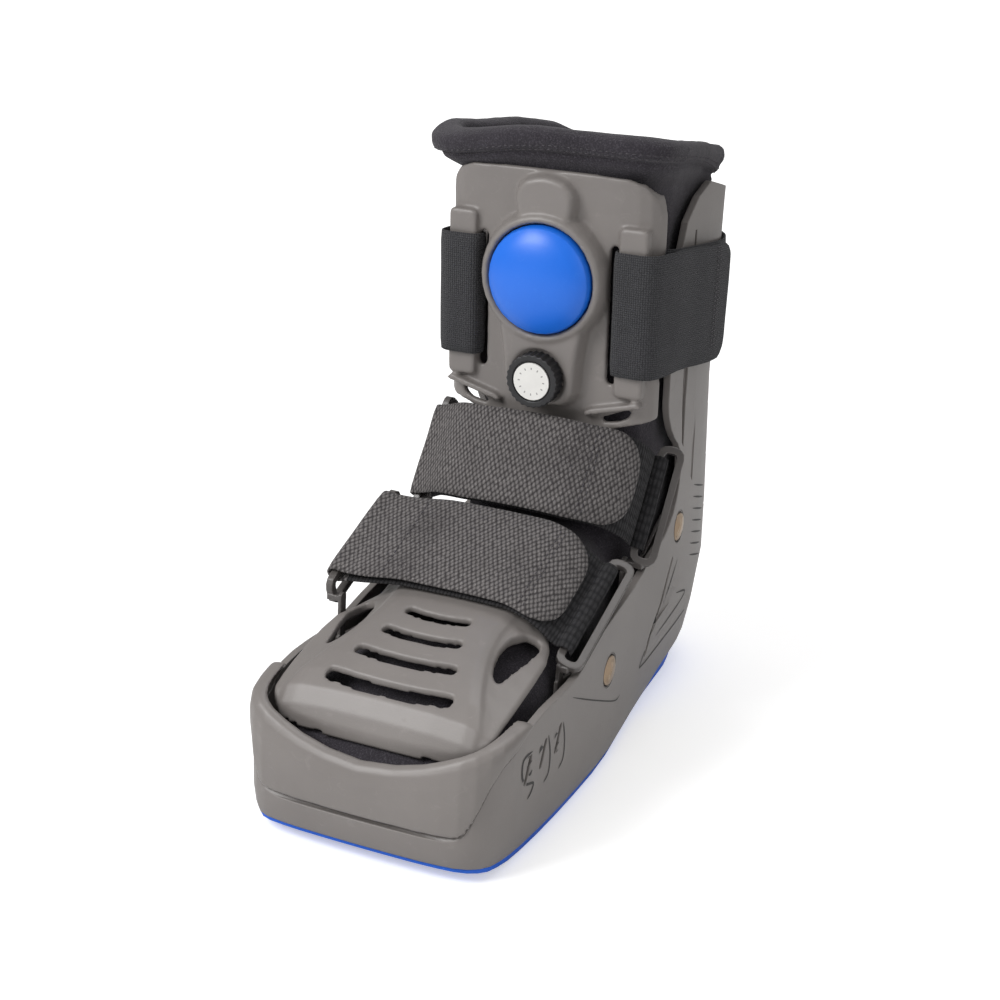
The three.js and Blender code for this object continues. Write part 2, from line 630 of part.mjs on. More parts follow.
// The leg is rounder low down and squarer at the rim, where it opens out.
const legRounding = (z) => lerp(rounding.leg, rounding.rim, smooth(229, 243, z));
function roundedRing(halfU, halfV, power, steps) {
  const points = [];
  for (let step = 0; step < steps; step += 1) {
    const angle = (step / steps) * 2 * Math.PI;
    const [c, s] = [Math.cos(angle), Math.sin(angle)];
    points.push([
      Math.sign(c) * halfU * Math.abs(c) ** (2 / power),
      Math.sign(s) * halfV * Math.abs(s) ** (2 / power),
    ]);
  }
  return points;
}
function legLoft(inset, fromRow, lift) {
  return loft(legTable.slice(fromRow).map(([z, half, front, back], row) => {
    const ring = roundedRing(half - inset, (back - front) / 2 - inset, legRounding(z), linerSteps);
    return ring.map(([x, v]) => {
      const y = v + (front + back) / 2;
      return [x * (1 - legBackNarrow * smooth(5, 95, y)), y, z + (row === 0 ? lift : 0)];
    });
  }), [0, 1]);
}
function footLoft(inset, fromRow) {
  return loft(footTable.slice(fromRow).map(([y, half, low, high]) => {
    const ring = roundedRing(half - inset, (high - low) / 2 - inset, rounding.foot, linerSteps);
    return ring.map(([x, z]) => [x, y, z + (low + high) / 2]);
  }), [0, 2]);
}
// Top edge of the liner in side view, high at the shin and low behind the calf
const rimCurve = [
  [-30, 249.5], [-8, 248.8], [8, 247.4], [30, 245.6], [55, 242], [78, 237.6], [100, 233], [140, 231],
];
const aboveRim = (lift) => [...rimCurve.map(([y, z]) => [y, z + lift]), [140, 300], [-30, 300]];
function makeLiner() {
  const outside = legLoft(0, 0, 0).add(footLoft(0, 0));
  const inside = legLoft(linerWall, 1, linerWall).add(footLoft(linerWall, 1));
  const underFloor = [...floorCurve.map(([y, z]) => [y, z + pieceGap]), [160, -20], [-170, -20]];
  return outside.subtract(inside).subtract(sideCut(aboveRim(0), -wide, wide))
    .subtract(sideCut(underFloor.reverse(), -wide, wide));
}
const linerBody = makeLiner();
const liner = piece(linerBody, 'liner', materials.linerFabric);

// Binding: folded hem that runs round the rim of the liner
const bindingHeight = 7;
const bindingBulge = 0.8;
function makeBinding() {
  const steps = 30;
  const first = roundedRing(1, 1, rounding.leg, steps);
  const rings = first.map(([, firstV], step) => {
    const y0 = firstV * 58 + 52;
    const [u, v] = roundedRing(1, 1, legRounding(column(rimCurve, y0, 1)), steps)[step];
    const edgeAt = (inset, level) => {
      const narrow = 1 - legBackNarrow * smooth(5, 95, y0);
      const z = column(rimCurve, y0, 1);
      const [half, front, back] = [1, 2, 3].map((col) => column(legTable, z, col));
      return [u * (half - inset) * narrow, v * ((back - front) / 2 - inset) + (front + back) / 2, z + level];
    };
    return [
      edgeAt(-bindingBulge, 1.4 + pieceGap), edgeAt(-bindingBulge, bindingHeight - 2),
      edgeAt(1.4, bindingHeight), edgeAt(linerWall - 1.4, bindingHeight),
      edgeAt(linerWall + bindingBulge, bindingHeight - 2),
      edgeAt(linerWall + bindingBulge, 1.4 + pieceGap), edgeAt(linerWall / 2, pieceGap),
    ];
  });
  return loft(rings, null).subtract(sideCut([[-60, 0], ...rimCurve.map(([y, z]) =>
    [y, z + pieceGap]), [160, 0]], -wide, wide));
}
const linerBinding = piece(makeBinding(), 'liner_binding', materials.linerFabric);

// Straps
// Flat ribbon through a path of points, as a closed outline of the given thickness
function ribbon(path, steps, thickness) {
  const line = curved(path, steps);
  const side = (amount) => line.map(([u, v], index) => {
    const before = line[Math.max(0, index - 1)];
    const after = line[Math.min(line.length - 1, index + 1)];
    const length = Math.hypot(after[0] - before[0], after[1] - before[1]);
    return [
      u - ((after[1] - before[1]) / length) * amount,
      v + ((after[0] - before[0]) / length) * amount,
    ];
  });
  return [...side(thickness / 2), ...side(-thickness / 2).reverse()];
}
function arcAround([u, v], radius, fromDegrees, toDegrees, steps) {
  return Array.from({ length: steps + 1 }, (_, step) => {
    const angle = THREE.MathUtils.degToRad(lerp(fromDegrees, toDegrees, step / steps));
    return [u + radius * Math.cos(angle), v + radius * Math.sin(angle)];
  });
}

// Shin strap: loops the left bar, goes round the back, loops the right bar and ends free
const shinStrapSize = { width: 50, lowZ: 160, clip: 11, drop: 7 };
const shinStrapEnd = 90;
function makeShinStrap() {
  const hug = pieceGap * 1.5 + strapThickness / 2;
  const layer = strapThickness + strapLayerGap;
  const wallAt = (side, fromY, out) => planHalf
    .map((_, index) => wallPoint(index, -out, shinPivot.z))
    .filter(([, y]) => y > fromY)
    .map(([x, y]) => [side * x, y]);
  const barLoop = [[31.8, 4.2], [28.9, 1.1], [28.9, -2.4], [30.8, -5.4], [37, -5.9], [43.4, -5.7]];
  const behindPanel = [[41.8, 12.4], [40, 8.2], [35.8, 5.4]];
  const pathTo = (endY) => [
    ...[...behindPanel, ...barLoop, [47, -2.4], [47.8, 6], [47.6, 18]].map(([x, y]) => [-x, y]),
    ...wallAt(-1, 34, hug), ...wallAt(1, 34, hug).slice(0, -1).reverse(),
    [46.6, 21], [44.8, 16], ...behindPanel, ...barLoop, [47.2, -2.2], [48.8, 6], [49.4, 18],
    ...wallAt(1, 34, hug + layer).filter(([, y]) => y < shinStrapEnd - 16),
    [column(wallAt(1, 34, hug + layer).map(([x, y]) => [y, x]), endY, 1), endY],
  ];
  const lean = Math.tan(shinLean);
  const low = shinStrapSize.lowZ;
  const high = low + shinStrapSize.width;
  const shiftAt = (y, z) => -(z - shinPivot.z) * lean * (1 - smooth(4, 60, y));
  const dropAt = (y) => shinStrapSize.drop * clamp01((y - 20) / 80);
  // The lower corner of the free end is clipped.
  const ends = [
    [low, shinStrapEnd - shinStrapSize.clip], [low + shinStrapSize.clip, shinStrapEnd],
    [high, shinStrapEnd],
  ];
  const rings = ends.map(([z, endY]) => ribbon(pathTo(endY), 66, strapThickness)
    .map(([x, y]) => [x, y + shiftAt(y, z), z - dropAt(y)]));
  return loft(rings, [0, 1]);
}
const shinStrap = piece(makeShinStrap(), 'shin_strap', materials.strapWebbing);

// Lower straps: ribbons in a plane across the foot, swept along their own width.
// Paths are X and the distance off the strap's own flat; slope is the rise of the width.
const lowerStraps = {
  foot: {
    slope: 25.5, width: 48, middle: [0, -57.4, 93.8],
    under: [[41.8, -14.4], [34, -6.8], [24, -3.8], [8, -3], [-14, -3], [-34, -3.2], [-46, -4.8]],
    over: [[-46, -0.3], [-34, 0], [-14, 0.2], [8, 0], [22, -0.8], [32, -3.4], [38, -7.2], [41.6, -11]],
    barRight: [45.6, -18.4], barLeft: [-51, -2.9], anchorRight: [53.2, -21.4],
    anchorLeft: [-51.6, -13.6], tipRadius: 15,
  },
  ankle: {
    slope: 57, width: 40, middle: [0, -16.4, 124.2],
    under: [[42.4, -31], [41, -21], [35, -11], [22, -4.8], [6, -2.6], [-14, -3], [-32, -8],
      [-42.6, -17.4]],
    over: [[-44.5, -12.4], [-33, -4.9], [-15, -0.2], [5, 0.4], [20, -1.6], [32, -6.6], [39, -12.6],
      [43.6, -19]],
    barRight: [43.6, -38], barLeft: [-49.6, -18.8], anchorRight: [51.4, -41],
    anchorLeft: [-50, -29], tipRadius: 15,
  },
};
const ringSize = { bar: 3, thickness: 2.8, margin: 6.2 };
const wrapRadius = Math.hypot(ringSize.bar, ringSize.thickness) / 2 + pieceGap + 0.15
  + strapThickness / 2;
function strapFrame({ slope, middle }) {
  const angle = THREE.MathUtils.degToRad(slope);
  const across = new THREE.Vector3(0, Math.cos(angle), Math.sin(angle));
  const off = new THREE.Vector3(0, -Math.sin(angle), Math.cos(angle));
  return { across, off, basis: (shift) => basisAt(axisX, off, across.clone().negate(),
    new THREE.Vector3(...middle).addScaledVector(across, shift).toArray()) };
}
function makeLowerStrap(strap) {
  const { basis } = strapFrame(strap);
  const rightWrap = arcAround(strap.barRight, wrapRadius, -60, 120, 5).slice(1);
  const leftWrap = arcAround(strap.barLeft, wrapRadius, 300, 90, 6);
  const over = strap.over;
  const path = [...rightWrap, ...strap.under, ...leftWrap, ...over];
  const points = ribbon(path, Math.round(path.length * 1.5), strapThickness);
  const body = extruded(points, strap.width, basis(strap.width / 2));
  // Rounded free end
  const tipX = over[over.length - 1][0];
  const radius = strap.tipRadius;
  let rounded = body;
  for (const side of [1, -1]) {
    const arc = Array.from({ length: 7 }, (_, step) => {
      const angle = (step / 6) * (Math.PI / 2);
      return [
        tipX + 1 - radius + radius * Math.sin(angle),
        side * (strap.width / 2 - radius + radius * Math.cos(angle)),
      ];
    });
    const corner = [[tipX - radius, side * (strap.width / 2 + 2)],
      [tipX - radius, side * (strap.width / 2 + 0.01)], ...arc.slice(1),
      [tipX + 4, side * (strap.width / 2 - radius)], [tipX + 4, side * (strap.width / 2 + 2)]];
    rounded = rounded.subtract(aboveUnder(strap, corner));
  }
  return rounded;
}
// Prism off the strap's flat over an outline in X and width, starting above the lower layer
function aboveUnder(strap, corner) {
  const { across, off } = strapFrame(strap);
  const lift = strap.over[strap.over.length - 1][1] - 2.2;
  const origin = new THREE.Vector3(...strap.middle).addScaledVector(off, lift).toArray();
  return extruded(corner, 40, basisAt(axisX, across, off, origin));
}
const footStrap = piece(makeLowerStrap(lowerStraps.foot), 'foot_strap', materials.strapWebbing);
const ankleStrap = piece(makeLowerStrap(lowerStraps.ankle), 'ankle_strap', materials.strapWebbing);

// Strap rings: flat loops that hold the lower straps, each with a tang down inside the wall
const tang = { thickness: 1.4, wallClear: 0.35, lug: 2 };
// Side view of each tang inside the wall, from the low end of the ring to the bolt
const tangOutlines = {
  foot: [[-76, 57], [-62, 56], [-44, 57], [-27, 58], [-26, 41], [-42, 40], [-66, 46], [-77, 50]],
  ankle: [[2, 77], [12, 76.5], [26, 78], [44, 90], [61, 92], [61, 75], [46, 73], [28, 69], [2, 69]],
};
function makeRing(strap, side, spot) {
  const { across, off } = strapFrame(strap);
  const [innerBar, outerBar] = side > 0
    ? [strap.barRight, strap.anchorRight] : [strap.barLeft, strap.anchorLeft];
  const middleU = (innerBar[0] + outerBar[0]) / 2;
  const middleV = (innerBar[1] + outerBar[1]) / 2;
  const tilt = Math.atan2(outerBar[1] - innerBar[1], outerBar[0] - innerBar[0]);
  const reach = Math.hypot(outerBar[0] - innerBar[0], outerBar[1] - innerBar[1]);
  const inPlane = axisX.clone().multiplyScalar(Math.cos(tilt))
    .addScaledVector(off, Math.sin(tilt));
  const normal = across.clone().cross(inPlane);
  const centre = new THREE.Vector3(...strap.middle).addScaledVector(axisX, middleU)
    .addScaledVector(off, middleV).addScaledVector(normal, -ringSize.thickness / 2);
  const halfLong = strap.width / 2 + ringSize.margin;
  const basis = basisAt(across, inPlane, normal, centre.toArray());
  const outer = roundedRect(halfLong, reach / 2 + ringSize.bar / 2, 4.5, 3);
  const hole = roundedRect(halfLong - ringSize.bar, reach / 2 - ringSize.bar / 2, 1.6, 2);
  const frame = extruded(outer, ringSize.thickness, basis)
    .subtract(extruded(hole, ringSize.thickness + 2, basis.clone().multiply(
      new THREE.Matrix4().makeTranslation(0, 0, -1))));
  // Tang inside the wall and the lug that joins it to the low end of the ring
  const given = tangOutlines[strap === lowerStraps.foot ? 'foot' : 'ankle'];
  const face = Math.min(...given.map(([y, z]) => wallHalfWidthAt(y, z)))
    - shellWall - tang.wallClear;
  const low = centre.clone().addScaledVector(across, -halfLong + ringSize.bar / 2)
    .addScaledVector(normal, ringSize.thickness / 2);
  const startY = Math.min(given[0][0], low.y - tang.lug - 1);
  const outline = given.map(([y, z], row) =>
    [row === 0 || row === given.length - 1 ? startY : y, z]);
  const spanX = (from, to) => (side > 0 ? [from, to] : [-to, -from]);
  const plate = sideCut([...outline].reverse(), ...spanX(face - tang.thickness, face));
  const lug = [[low.y - tang.lug, outline[0][1] - 4], [low.y + tang.lug, outline[0][1] - 4],
    [low.y + tang.lug, low.z], [low.y, low.z + 1], [low.y - tang.lug, low.z]];
  const lugSolid = sideCut(lug, ...spanX(face - tang.thickness, face));
  const arm = [[low.y - tang.lug, low.z - 2.6], [low.y + tang.lug, low.z - 2.6],
    [low.y + tang.lug * 0.5, low.z], [low.y - tang.lug, low.z - 0.4]];
  const armSolid = sideCut(arm, ...spanX(face - tang.thickness, Math.abs(middleU) + 1));
  const shankHole = cylinder(boltShank.radius + pieceGap, 30, 12,
    basisAt(axisY, axisX, axisZ.clone().negate(), [side * face, spot.y, spot.z]));
  return frame.add(lugSolid).add(armSolid).add(plate.subtract(shankHole));
}
const rings = {};
for (const [name, strap] of Object.entries(lowerStraps)) {
  for (const [sideName, side] of [['right', 1], ['left', -1]]) {
    const key = `ring_${name}_${sideName}`;
    rings[key] = piece(makeRing(strap, side, boltSpots[name]), key, materials.shellPlastic);
  }
}

// Bolts: domed heads with a slot, through the side walls
function makeBolt(side, spot) {
  const face = wallHalfWidthAt(spot.y, spot.z);
  const profile = [
    [0, -boltShank.length], [boltShank.radius, -boltShank.length], [boltShank.radius, 0],
    [boltHead.radius, 0], [boltHead.radius, boltHead.height * 0.5], [0, boltHead.height * 1.15],
  ];
  const geometry = new THREE.LatheGeometry(profile.map(([u, v]) => new THREE.Vector2(u, v)), 14);
  const seat = face - 1.1 + pieceGap;
  geometry.applyMatrix4(basisAt(axisZ, axisX.clone().multiplyScalar(side),
    axisY.clone().multiplyScalar(side), [side * seat, spot.y, spot.z]));
  const slotReach = side > 0 ? [seat + 0.9, wide] : [-wide, -seat - 0.9];
  const slot = [[-5, -0.6], [5, -0.6], [5, 0.6], [-5, 0.6]]
    .map(([u, v]) => [spot.y + u * 0.5 - v * 0.87, spot.z + u * 0.87 + v * 0.5]);
  return solid(geometry).subtract(sideCut(slot, ...slotReach));
}
const bolts = [];
for (const [name, spot] of Object.entries(boltSpots)) {
  for (const [sideName, side] of [['right', 1], ['left', -1]]) {
    bolts.push(piece(makeBolt(side, spot), `bolt_${name}_${sideName}`, materials.boltMetal));
  }
}

const boot = new THREE.Group();
boot.name = 'walking_boot';
boot.add(rearShell, outsole, toeBumper, footPanel, shinPanel, pumpBulb, valveKnob, valveLabel,
  liner, linerBinding, shinStrap, ankleStrap, footStrap,
  ...Object.values(rings), ...bolts);

// The origin is the middle of the bounding box, on the ground.
const bounds = new THREE.Box3().setFromObject(boot);
boot.position.set(-(bounds.min.x + bounds.max.x) / 2, -(bounds.min.y + bounds.max.y) / 2, -bounds.min.z);

export default boot;
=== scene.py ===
# Walking boot: materials, straps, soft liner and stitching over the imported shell
import math
import bpy
import bmesh
from mathutils import Vector, Matrix, noise


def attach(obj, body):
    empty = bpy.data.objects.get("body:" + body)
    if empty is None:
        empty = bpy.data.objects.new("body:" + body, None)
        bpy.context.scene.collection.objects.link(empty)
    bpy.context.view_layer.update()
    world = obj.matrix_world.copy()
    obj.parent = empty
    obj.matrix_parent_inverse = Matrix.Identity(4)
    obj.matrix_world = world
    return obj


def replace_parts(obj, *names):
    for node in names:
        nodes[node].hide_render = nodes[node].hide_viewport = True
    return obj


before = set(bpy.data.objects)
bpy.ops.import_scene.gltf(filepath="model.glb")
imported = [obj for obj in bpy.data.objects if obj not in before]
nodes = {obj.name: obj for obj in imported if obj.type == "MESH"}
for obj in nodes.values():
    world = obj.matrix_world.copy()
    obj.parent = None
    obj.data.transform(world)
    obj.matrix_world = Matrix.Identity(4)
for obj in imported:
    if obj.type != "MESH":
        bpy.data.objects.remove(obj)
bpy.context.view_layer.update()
mm = 0.001
shiftY = 4.9  # the paths below are drawn 4.9 mm nearer the toe than the frame


def lerp(a, b, t):
    return a + (b - a) * t


def ease(start, end, value):
    t = min(1, max(0, (value - start) / (end - start)))
    return t * t * (3 - 2 * t)


def readTable(rows, key, col):
    if key <= rows[0][0]:
        return rows[0][col]
    for before, after in zip(rows, rows[1:]):
        if key <= after[0]:
            return lerp(before[col], after[col], (key - before[0]) / (after[0] - before[0]))
    return rows[-1][col]


def spline(points, perSpan):  # passes through every point
    line = []
    last = len(points) - 1
    for i in range(last):
        a, b = points[max(0, i - 1)], points[i]
        c, d = points[i + 1], points[min(last, i + 2)]
        for step in range(perSpan):
            t = step / perSpan
            line.append(tuple(
                0.5 * (2 * q + (r - p) * t + (2 * p - 5 * q + 4 * r - s) * t * t
                       + (3 * q - p - 3 * r + s) * t ** 3)
                for p, q, r, s in zip(a, b, c, d)))
    line.append(tuple(points[-1]))
    return line


# shader helpers
def addNode(tree, kind, **values):
    node = tree.nodes.new(kind)
    for name, value in values.items():
        setattr(node, name, value)
    return node


def setInputs(node, **values):
    for name, value in values.items():
        node.inputs[name.replace("_", " ")].default_value = value
    return node


def startMaterial(name, **values):
    material = bpy.data.materials.new(name)
    material.use_nodes = True
    tree = material.node_tree
    surface = tree.nodes["Principled BSDF"]
    setInputs(surface, **values)
    return material, tree, surface


def startGroup(name, inputs, outputs):
    tree = bpy.data.node_groups.new(name, "ShaderNodeTree")
    for label, value in inputs.items():
        socket = tree.interface.new_socket(name=label, in_out="INPUT", socket_type="NodeSocketFloat")
        socket.default_value = value
    tree.interface.new_socket(name="Place", in_out="INPUT", socket_type="NodeSocketVector")
    for label, kind in outputs.items():
        tree.interface.new_socket(name=label, in_out="OUTPUT", socket_type=kind)
    return tree, addNode(tree, "NodeGroupInput"), addNode(tree, "NodeGroupOutput")


def useGroup(tree, group, **values):
    node = addNode(tree, "ShaderNodeGroup", node_tree=group)
    return setInputs(node, **values)


def ramp(tree, source, low, high, lowColor=(0, 0, 0, 1), highColor=(1, 1, 1, 1)):
    node = addNode(tree, "ShaderNodeValToRGB")
    node.color_ramp.elements[0].position = low
    node.color_ramp.elements[1].position = high
    node.color_ramp.elements[0].color = lowColor
    node.color_ramp.elements[1].color = highColor
    tree.links.new(source, node.inputs["Fac"])
    return node.outputs["Color"]


def mixColor(tree, mask, first, second, blend="MIX"):
    node = addNode(tree, "ShaderNodeMix", data_type="RGBA", blend_type=blend)
    tree.links.new(mask, node.inputs[0])
    for socket, value in ((node.inputs[6], first), (node.inputs[7], second)):
        if isinstance(value, tuple):
            socket.default_value = value
        else:
            tree.links.new(value, socket)
    return node.outputs[2]


def spread(tree, source, low, high):  # stretches 0..1 to low..high
    node = addNode(tree, "ShaderNodeMapRange")
    setInputs(node, To_Min=low, To_Max=high)
    tree.links.new(source, node.inputs["Value"])
    return node.outputs["Result"]


def bump(tree, height, strength, distance, normal=None):
    node = addNode(tree, "ShaderNodeBump")
    setInputs(node, Strength=strength, Distance=distance)
    tree.links.new(height, node.inputs["Height"])
    if normal is not None:
        tree.links.new(normal, node.inputs["Normal"])
    return node.outputs["Normal"]


# fine grain and wide patches, used by every moulded piece
grainGroup, grainIn, grainOut = startGroup(
    "moulded grain", {"Grain": 2200, "Patch": 18},
    {"Height": "NodeSocketFloat", "Patches": "NodeSocketFloat", "Scuffs": "NodeSocketFloat"})
grainNoise = setInputs(addNode(grainGroup, "ShaderNodeTexNoise"), Detail=3, Roughness=0.6)
patchNoise = setInputs(addNode(grainGroup, "ShaderNodeTexNoise"), Detail=5, Roughness=0.55)
scuffNoise = setInputs(addNode(grainGroup, "ShaderNodeTexNoise"), Scale=160, Detail=6, Roughness=0.7)
scuffNoise.inputs["Distortion"].default_value = 1.4
for noiseNode in (grainNoise, patchNoise, scuffNoise):
    grainGroup.links.new(grainIn.outputs["Place"], noiseNode.inputs["Vector"])
grainGroup.links.new(grainIn.outputs["Grain"], grainNoise.inputs["Scale"])
grainGroup.links.new(grainIn.outputs["Patch"], patchNoise.inputs["Scale"])
grainGroup.links.new(grainNoise.outputs["Fac"], grainOut.inputs["Height"])
grainGroup.links.new(patchNoise.outputs["Fac"], grainOut.inputs["Patches"])
grainGroup.links.new(ramp(grainGroup, scuffNoise.outputs["Fac"], 0.58, 0.72), grainOut.inputs["Scuffs"])

# where two faces meet: 1 at an outer edge, where mouldedMaterial paints a highlight
edgeGroup, edgeIn, edgeOut = startGroup(
    "rounded edges", {}, {"Normal": "NodeSocketVector", "Edge": "NodeSocketFloat"})
edgeBevel = setInputs(addNode(edgeGroup, "ShaderNodeBevel", samples=6), Radius=0.9 * mm)
edgeFace = addNode(edgeGroup, "ShaderNodeNewGeometry")
edgeDot = addNode(edgeGroup, "ShaderNodeVectorMath", operation="DOT_PRODUCT")
edgeGroup.links.new(edgeBevel.outputs["Normal"], edgeDot.inputs[0])
edgeGroup.links.new(edgeFace.outputs["Normal"], edgeDot.inputs[1])
edgeGroup.links.new(edgeBevel.outputs["Normal"], edgeOut.inputs["Normal"])
edgeGroup.links.new(ramp(edgeGroup, edgeDot.outputs["Value"], 0.8, 0.99, (1, 1, 1, 1), (0, 0, 0, 1)),
                    edgeOut.inputs["Edge"])


def mouldedMaterial(name, light, dark, edge, roughness, grainDepth=0.1, edgeHighlightShare=0.5, **surfaceValues):
    material, tree, surface = startMaterial(name, **surfaceValues)
    place = addNode(tree, "ShaderNodeTexCoord").outputs["Object"]
    grain = useGroup(tree, grainGroup, Grain=2200, Patch=18)
    edges = useGroup(tree, edgeGroup)
    tree.links.new(place, grain.inputs["Place"])
    color = mixColor(tree, ramp(tree, grain.outputs["Patches"], 0.3, 0.7), dark, light)
    # painted highlight: outer edges are mixed towards the paler edge colour
    color = mixColor(tree, spread(tree, edges.outputs["Edge"], 0, edgeHighlightShare), color, edge)
    # scuffs: real wear, mixed towards the same paler colour
    color = mixColor(tree, spread(tree, grain.outputs["Scuffs"], 0, 0.16), color, edge)
    tree.links.new(color, surface.inputs["Base Color"])
    tree.links.new(spread(tree, grain.outputs["Scuffs"], roughness, roughness + 0.14),
                   surface.inputs["Roughness"])
    tree.links.new(bump(tree, grain.outputs["Height"], grainDepth, 0.3 * mm, edges.outputs["Normal"]),
                   surface.inputs["Normal"])
    return material


# the third colour of each material is its paler edge colour: a painted highlight along outer edges, also
# used for the scuffs
shellMaterial = mouldedMaterial(
    "shell plastic", (0.205, 0.188, 0.178, 1), (0.175, 0.16, 0.152, 1), (0.36, 0.335, 0.32, 1), 0.4,
    grainDepth=0.18, edgeHighlightShare=0.4, IOR=1.48)
ringMaterial = mouldedMaterial(
    "ring plastic", (0.1, 0.092, 0.088, 1), (0.075, 0.068, 0.065, 1), (0.26, 0.24, 0.23, 1), 0.34,
    grainDepth=0.1, edgeHighlightShare=0.4)
soleMaterial = mouldedMaterial(
    "sole rubber", (0.008, 0.13, 0.7, 1), (0.006, 0.1, 0.6, 1), (0.05, 0.24, 0.8, 1), 0.6,
    grainDepth=0.35, edgeHighlightShare=0.3)
bulbMaterial = mouldedMaterial(
    "bulb rubber", (0.008, 0.15, 0.72, 1), (0.006, 0.13, 0.66, 1), (0.05, 0.26, 0.8, 1), 0.36,
    grainDepth=0.06, edgeHighlightShare=0.2)
knobMaterial = mouldedMaterial(
    "knob plastic", (0.014, 0.014, 0.016, 1), (0.008, 0.008, 0.009, 1), (0.07, 0.07, 0.075, 1), 0.36,
    grainDepth=0.12, edgeHighlightShare=0.6)
boltMaterial = mouldedMaterial(
    "plated bolt", (0.4, 0.29, 0.19, 1), (0.26, 0.18, 0.12, 1), (0.75, 0.62, 0.48, 1), 0.3,
    grainDepth=0.15, edgeHighlightShare=0.6, Metallic=1.0)


# turning dial face: pale disc with a ring of dark marks between two radii
dialRing = {"inner": 5, "outer": 5.9, "marks": 12, "thin": 0.03, "thick": 0.06}


def dialMaterial(centre):
    material, tree, surface = startMaterial("dial disc", Roughness=0.42)
    place = addNode(tree, "ShaderNodeTexCoord").outputs["Object"]
    grain = useGroup(tree, grainGroup, Grain=1500, Patch=160)
    tree.links.new(place, grain.inputs["Place"])
    color = mixColor(tree, grain.outputs["Patches"], (0.8, 0.79, 0.76, 1), (0.66, 0.65, 0.63, 1))
    moved = addNode(tree, "ShaderNodeVectorMath", operation="SUBTRACT")
    moved.inputs[1].default_value = centre
    tree.links.new(place, moved.inputs[0])
    parts = addNode(tree, "ShaderNodeSeparateXYZ")
    tree.links.new(moved.outputs[0], parts.inputs[0])
    far = addNode(tree, "ShaderNodeVectorMath", operation="LENGTH")
    tree.links.new(moved.outputs[0], far.inputs[0])
    angle = addNode(tree, "ShaderNodeMath", operation="ARCTAN2")
    tree.links.new(parts.outputs["Z"], angle.inputs[0])
    tree.links.new(parts.outputs["X"], angle.inputs[1])
    teeth = addNode(tree, "ShaderNodeMath", operation="PINGPONG")
    teeth.inputs[1].default_value = math.pi / dialRing["marks"]
    tree.links.new(angle.outputs[0], teeth.inputs[0])
    marks = ramp(tree, teeth.outputs[0], dialRing["thin"], dialRing["thick"], (0.7, 0.7, 0.7, 1),
                 (0, 0, 0, 1))
    ringIn = addNode(tree, "ShaderNodeMath", operation="GREATER_THAN")
    ringOut = addNode(tree, "ShaderNodeMath", operation="LESS_THAN")
    ringIn.inputs[1].default_value = dialRing["inner"] * mm
    ringOut.inputs[1].default_value = dialRing["outer"] * mm
    for ring in (ringIn, ringOut):
        tree.links.new(far.outputs["Value"], ring.inputs[0])
    both = addNode(tree, "ShaderNodeMath", operation="MULTIPLY")
    tree.links.new(ringIn.outputs[0], both.inputs[0])
    tree.links.new(ringOut.outputs[0], both.inputs[1])
    shown = addNode(tree, "ShaderNodeMath", operation="MULTIPLY")
    tree.links.new(marks, shown.inputs[0])
    tree.links.new(both.outputs[0], shown.inputs[1])
    color = mixColor(tree, shown.outputs[0], color, (0.05, 0.05, 0.055, 1))
    tree.links.new(color, surface.inputs["Base Color"])
    tree.links.new(bump(tree, grain.outputs["Height"], 0.1, 0.2 * mm), surface.inputs["Normal"])
    return material


# brushed loop fabric of the liner: dark with pale fibre flecks
def linerMaterial(name, base, deep, fleck):
    material, tree, surface = startMaterial(
        name, Roughness=0.95, Sheen_Weight=0.12, Sheen_Roughness=0.6, Specular_IOR_Level=0.15)
    place = addNode(tree, "ShaderNodeTexCoord").outputs["Object"]
    fibres = setInputs(addNode(tree, "ShaderNodeTexNoise"), Scale=1500, Detail=4, Roughness=0.75)
    loops = setInputs(addNode(tree, "ShaderNodeTexVoronoi"), Scale=1150, Randomness=1.0)
    worn = setInputs(addNode(tree, "ShaderNodeTexNoise"), Scale=26, Detail=5, Roughness=0.6)
    for texture in (fibres, loops, worn):
        tree.links.new(place, texture.inputs["Vector"])
    color = mixColor(tree, ramp(tree, worn.outputs["Fac"], 0.3, 0.72), deep, base)
    color = mixColor(tree, ramp(tree, fibres.outputs["Fac"], 0.5, 0.72), color, fleck)
    tree.links.new(color, surface.inputs["Base Color"])
    rough = bump(tree, fibres.outputs["Fac"], 0.55, 0.5 * mm)
    tree.links.new(bump(tree, loops.outputs["Distance"], 0.5, 0.4 * mm, rough), surface.inputs["Normal"])
    return material


linerFabric = linerMaterial("liner fabric", (0.034, 0.03, 0.037, 1), (0.02, 0.017, 0.022, 1),
                            (0.085, 0.078, 0.092, 1))


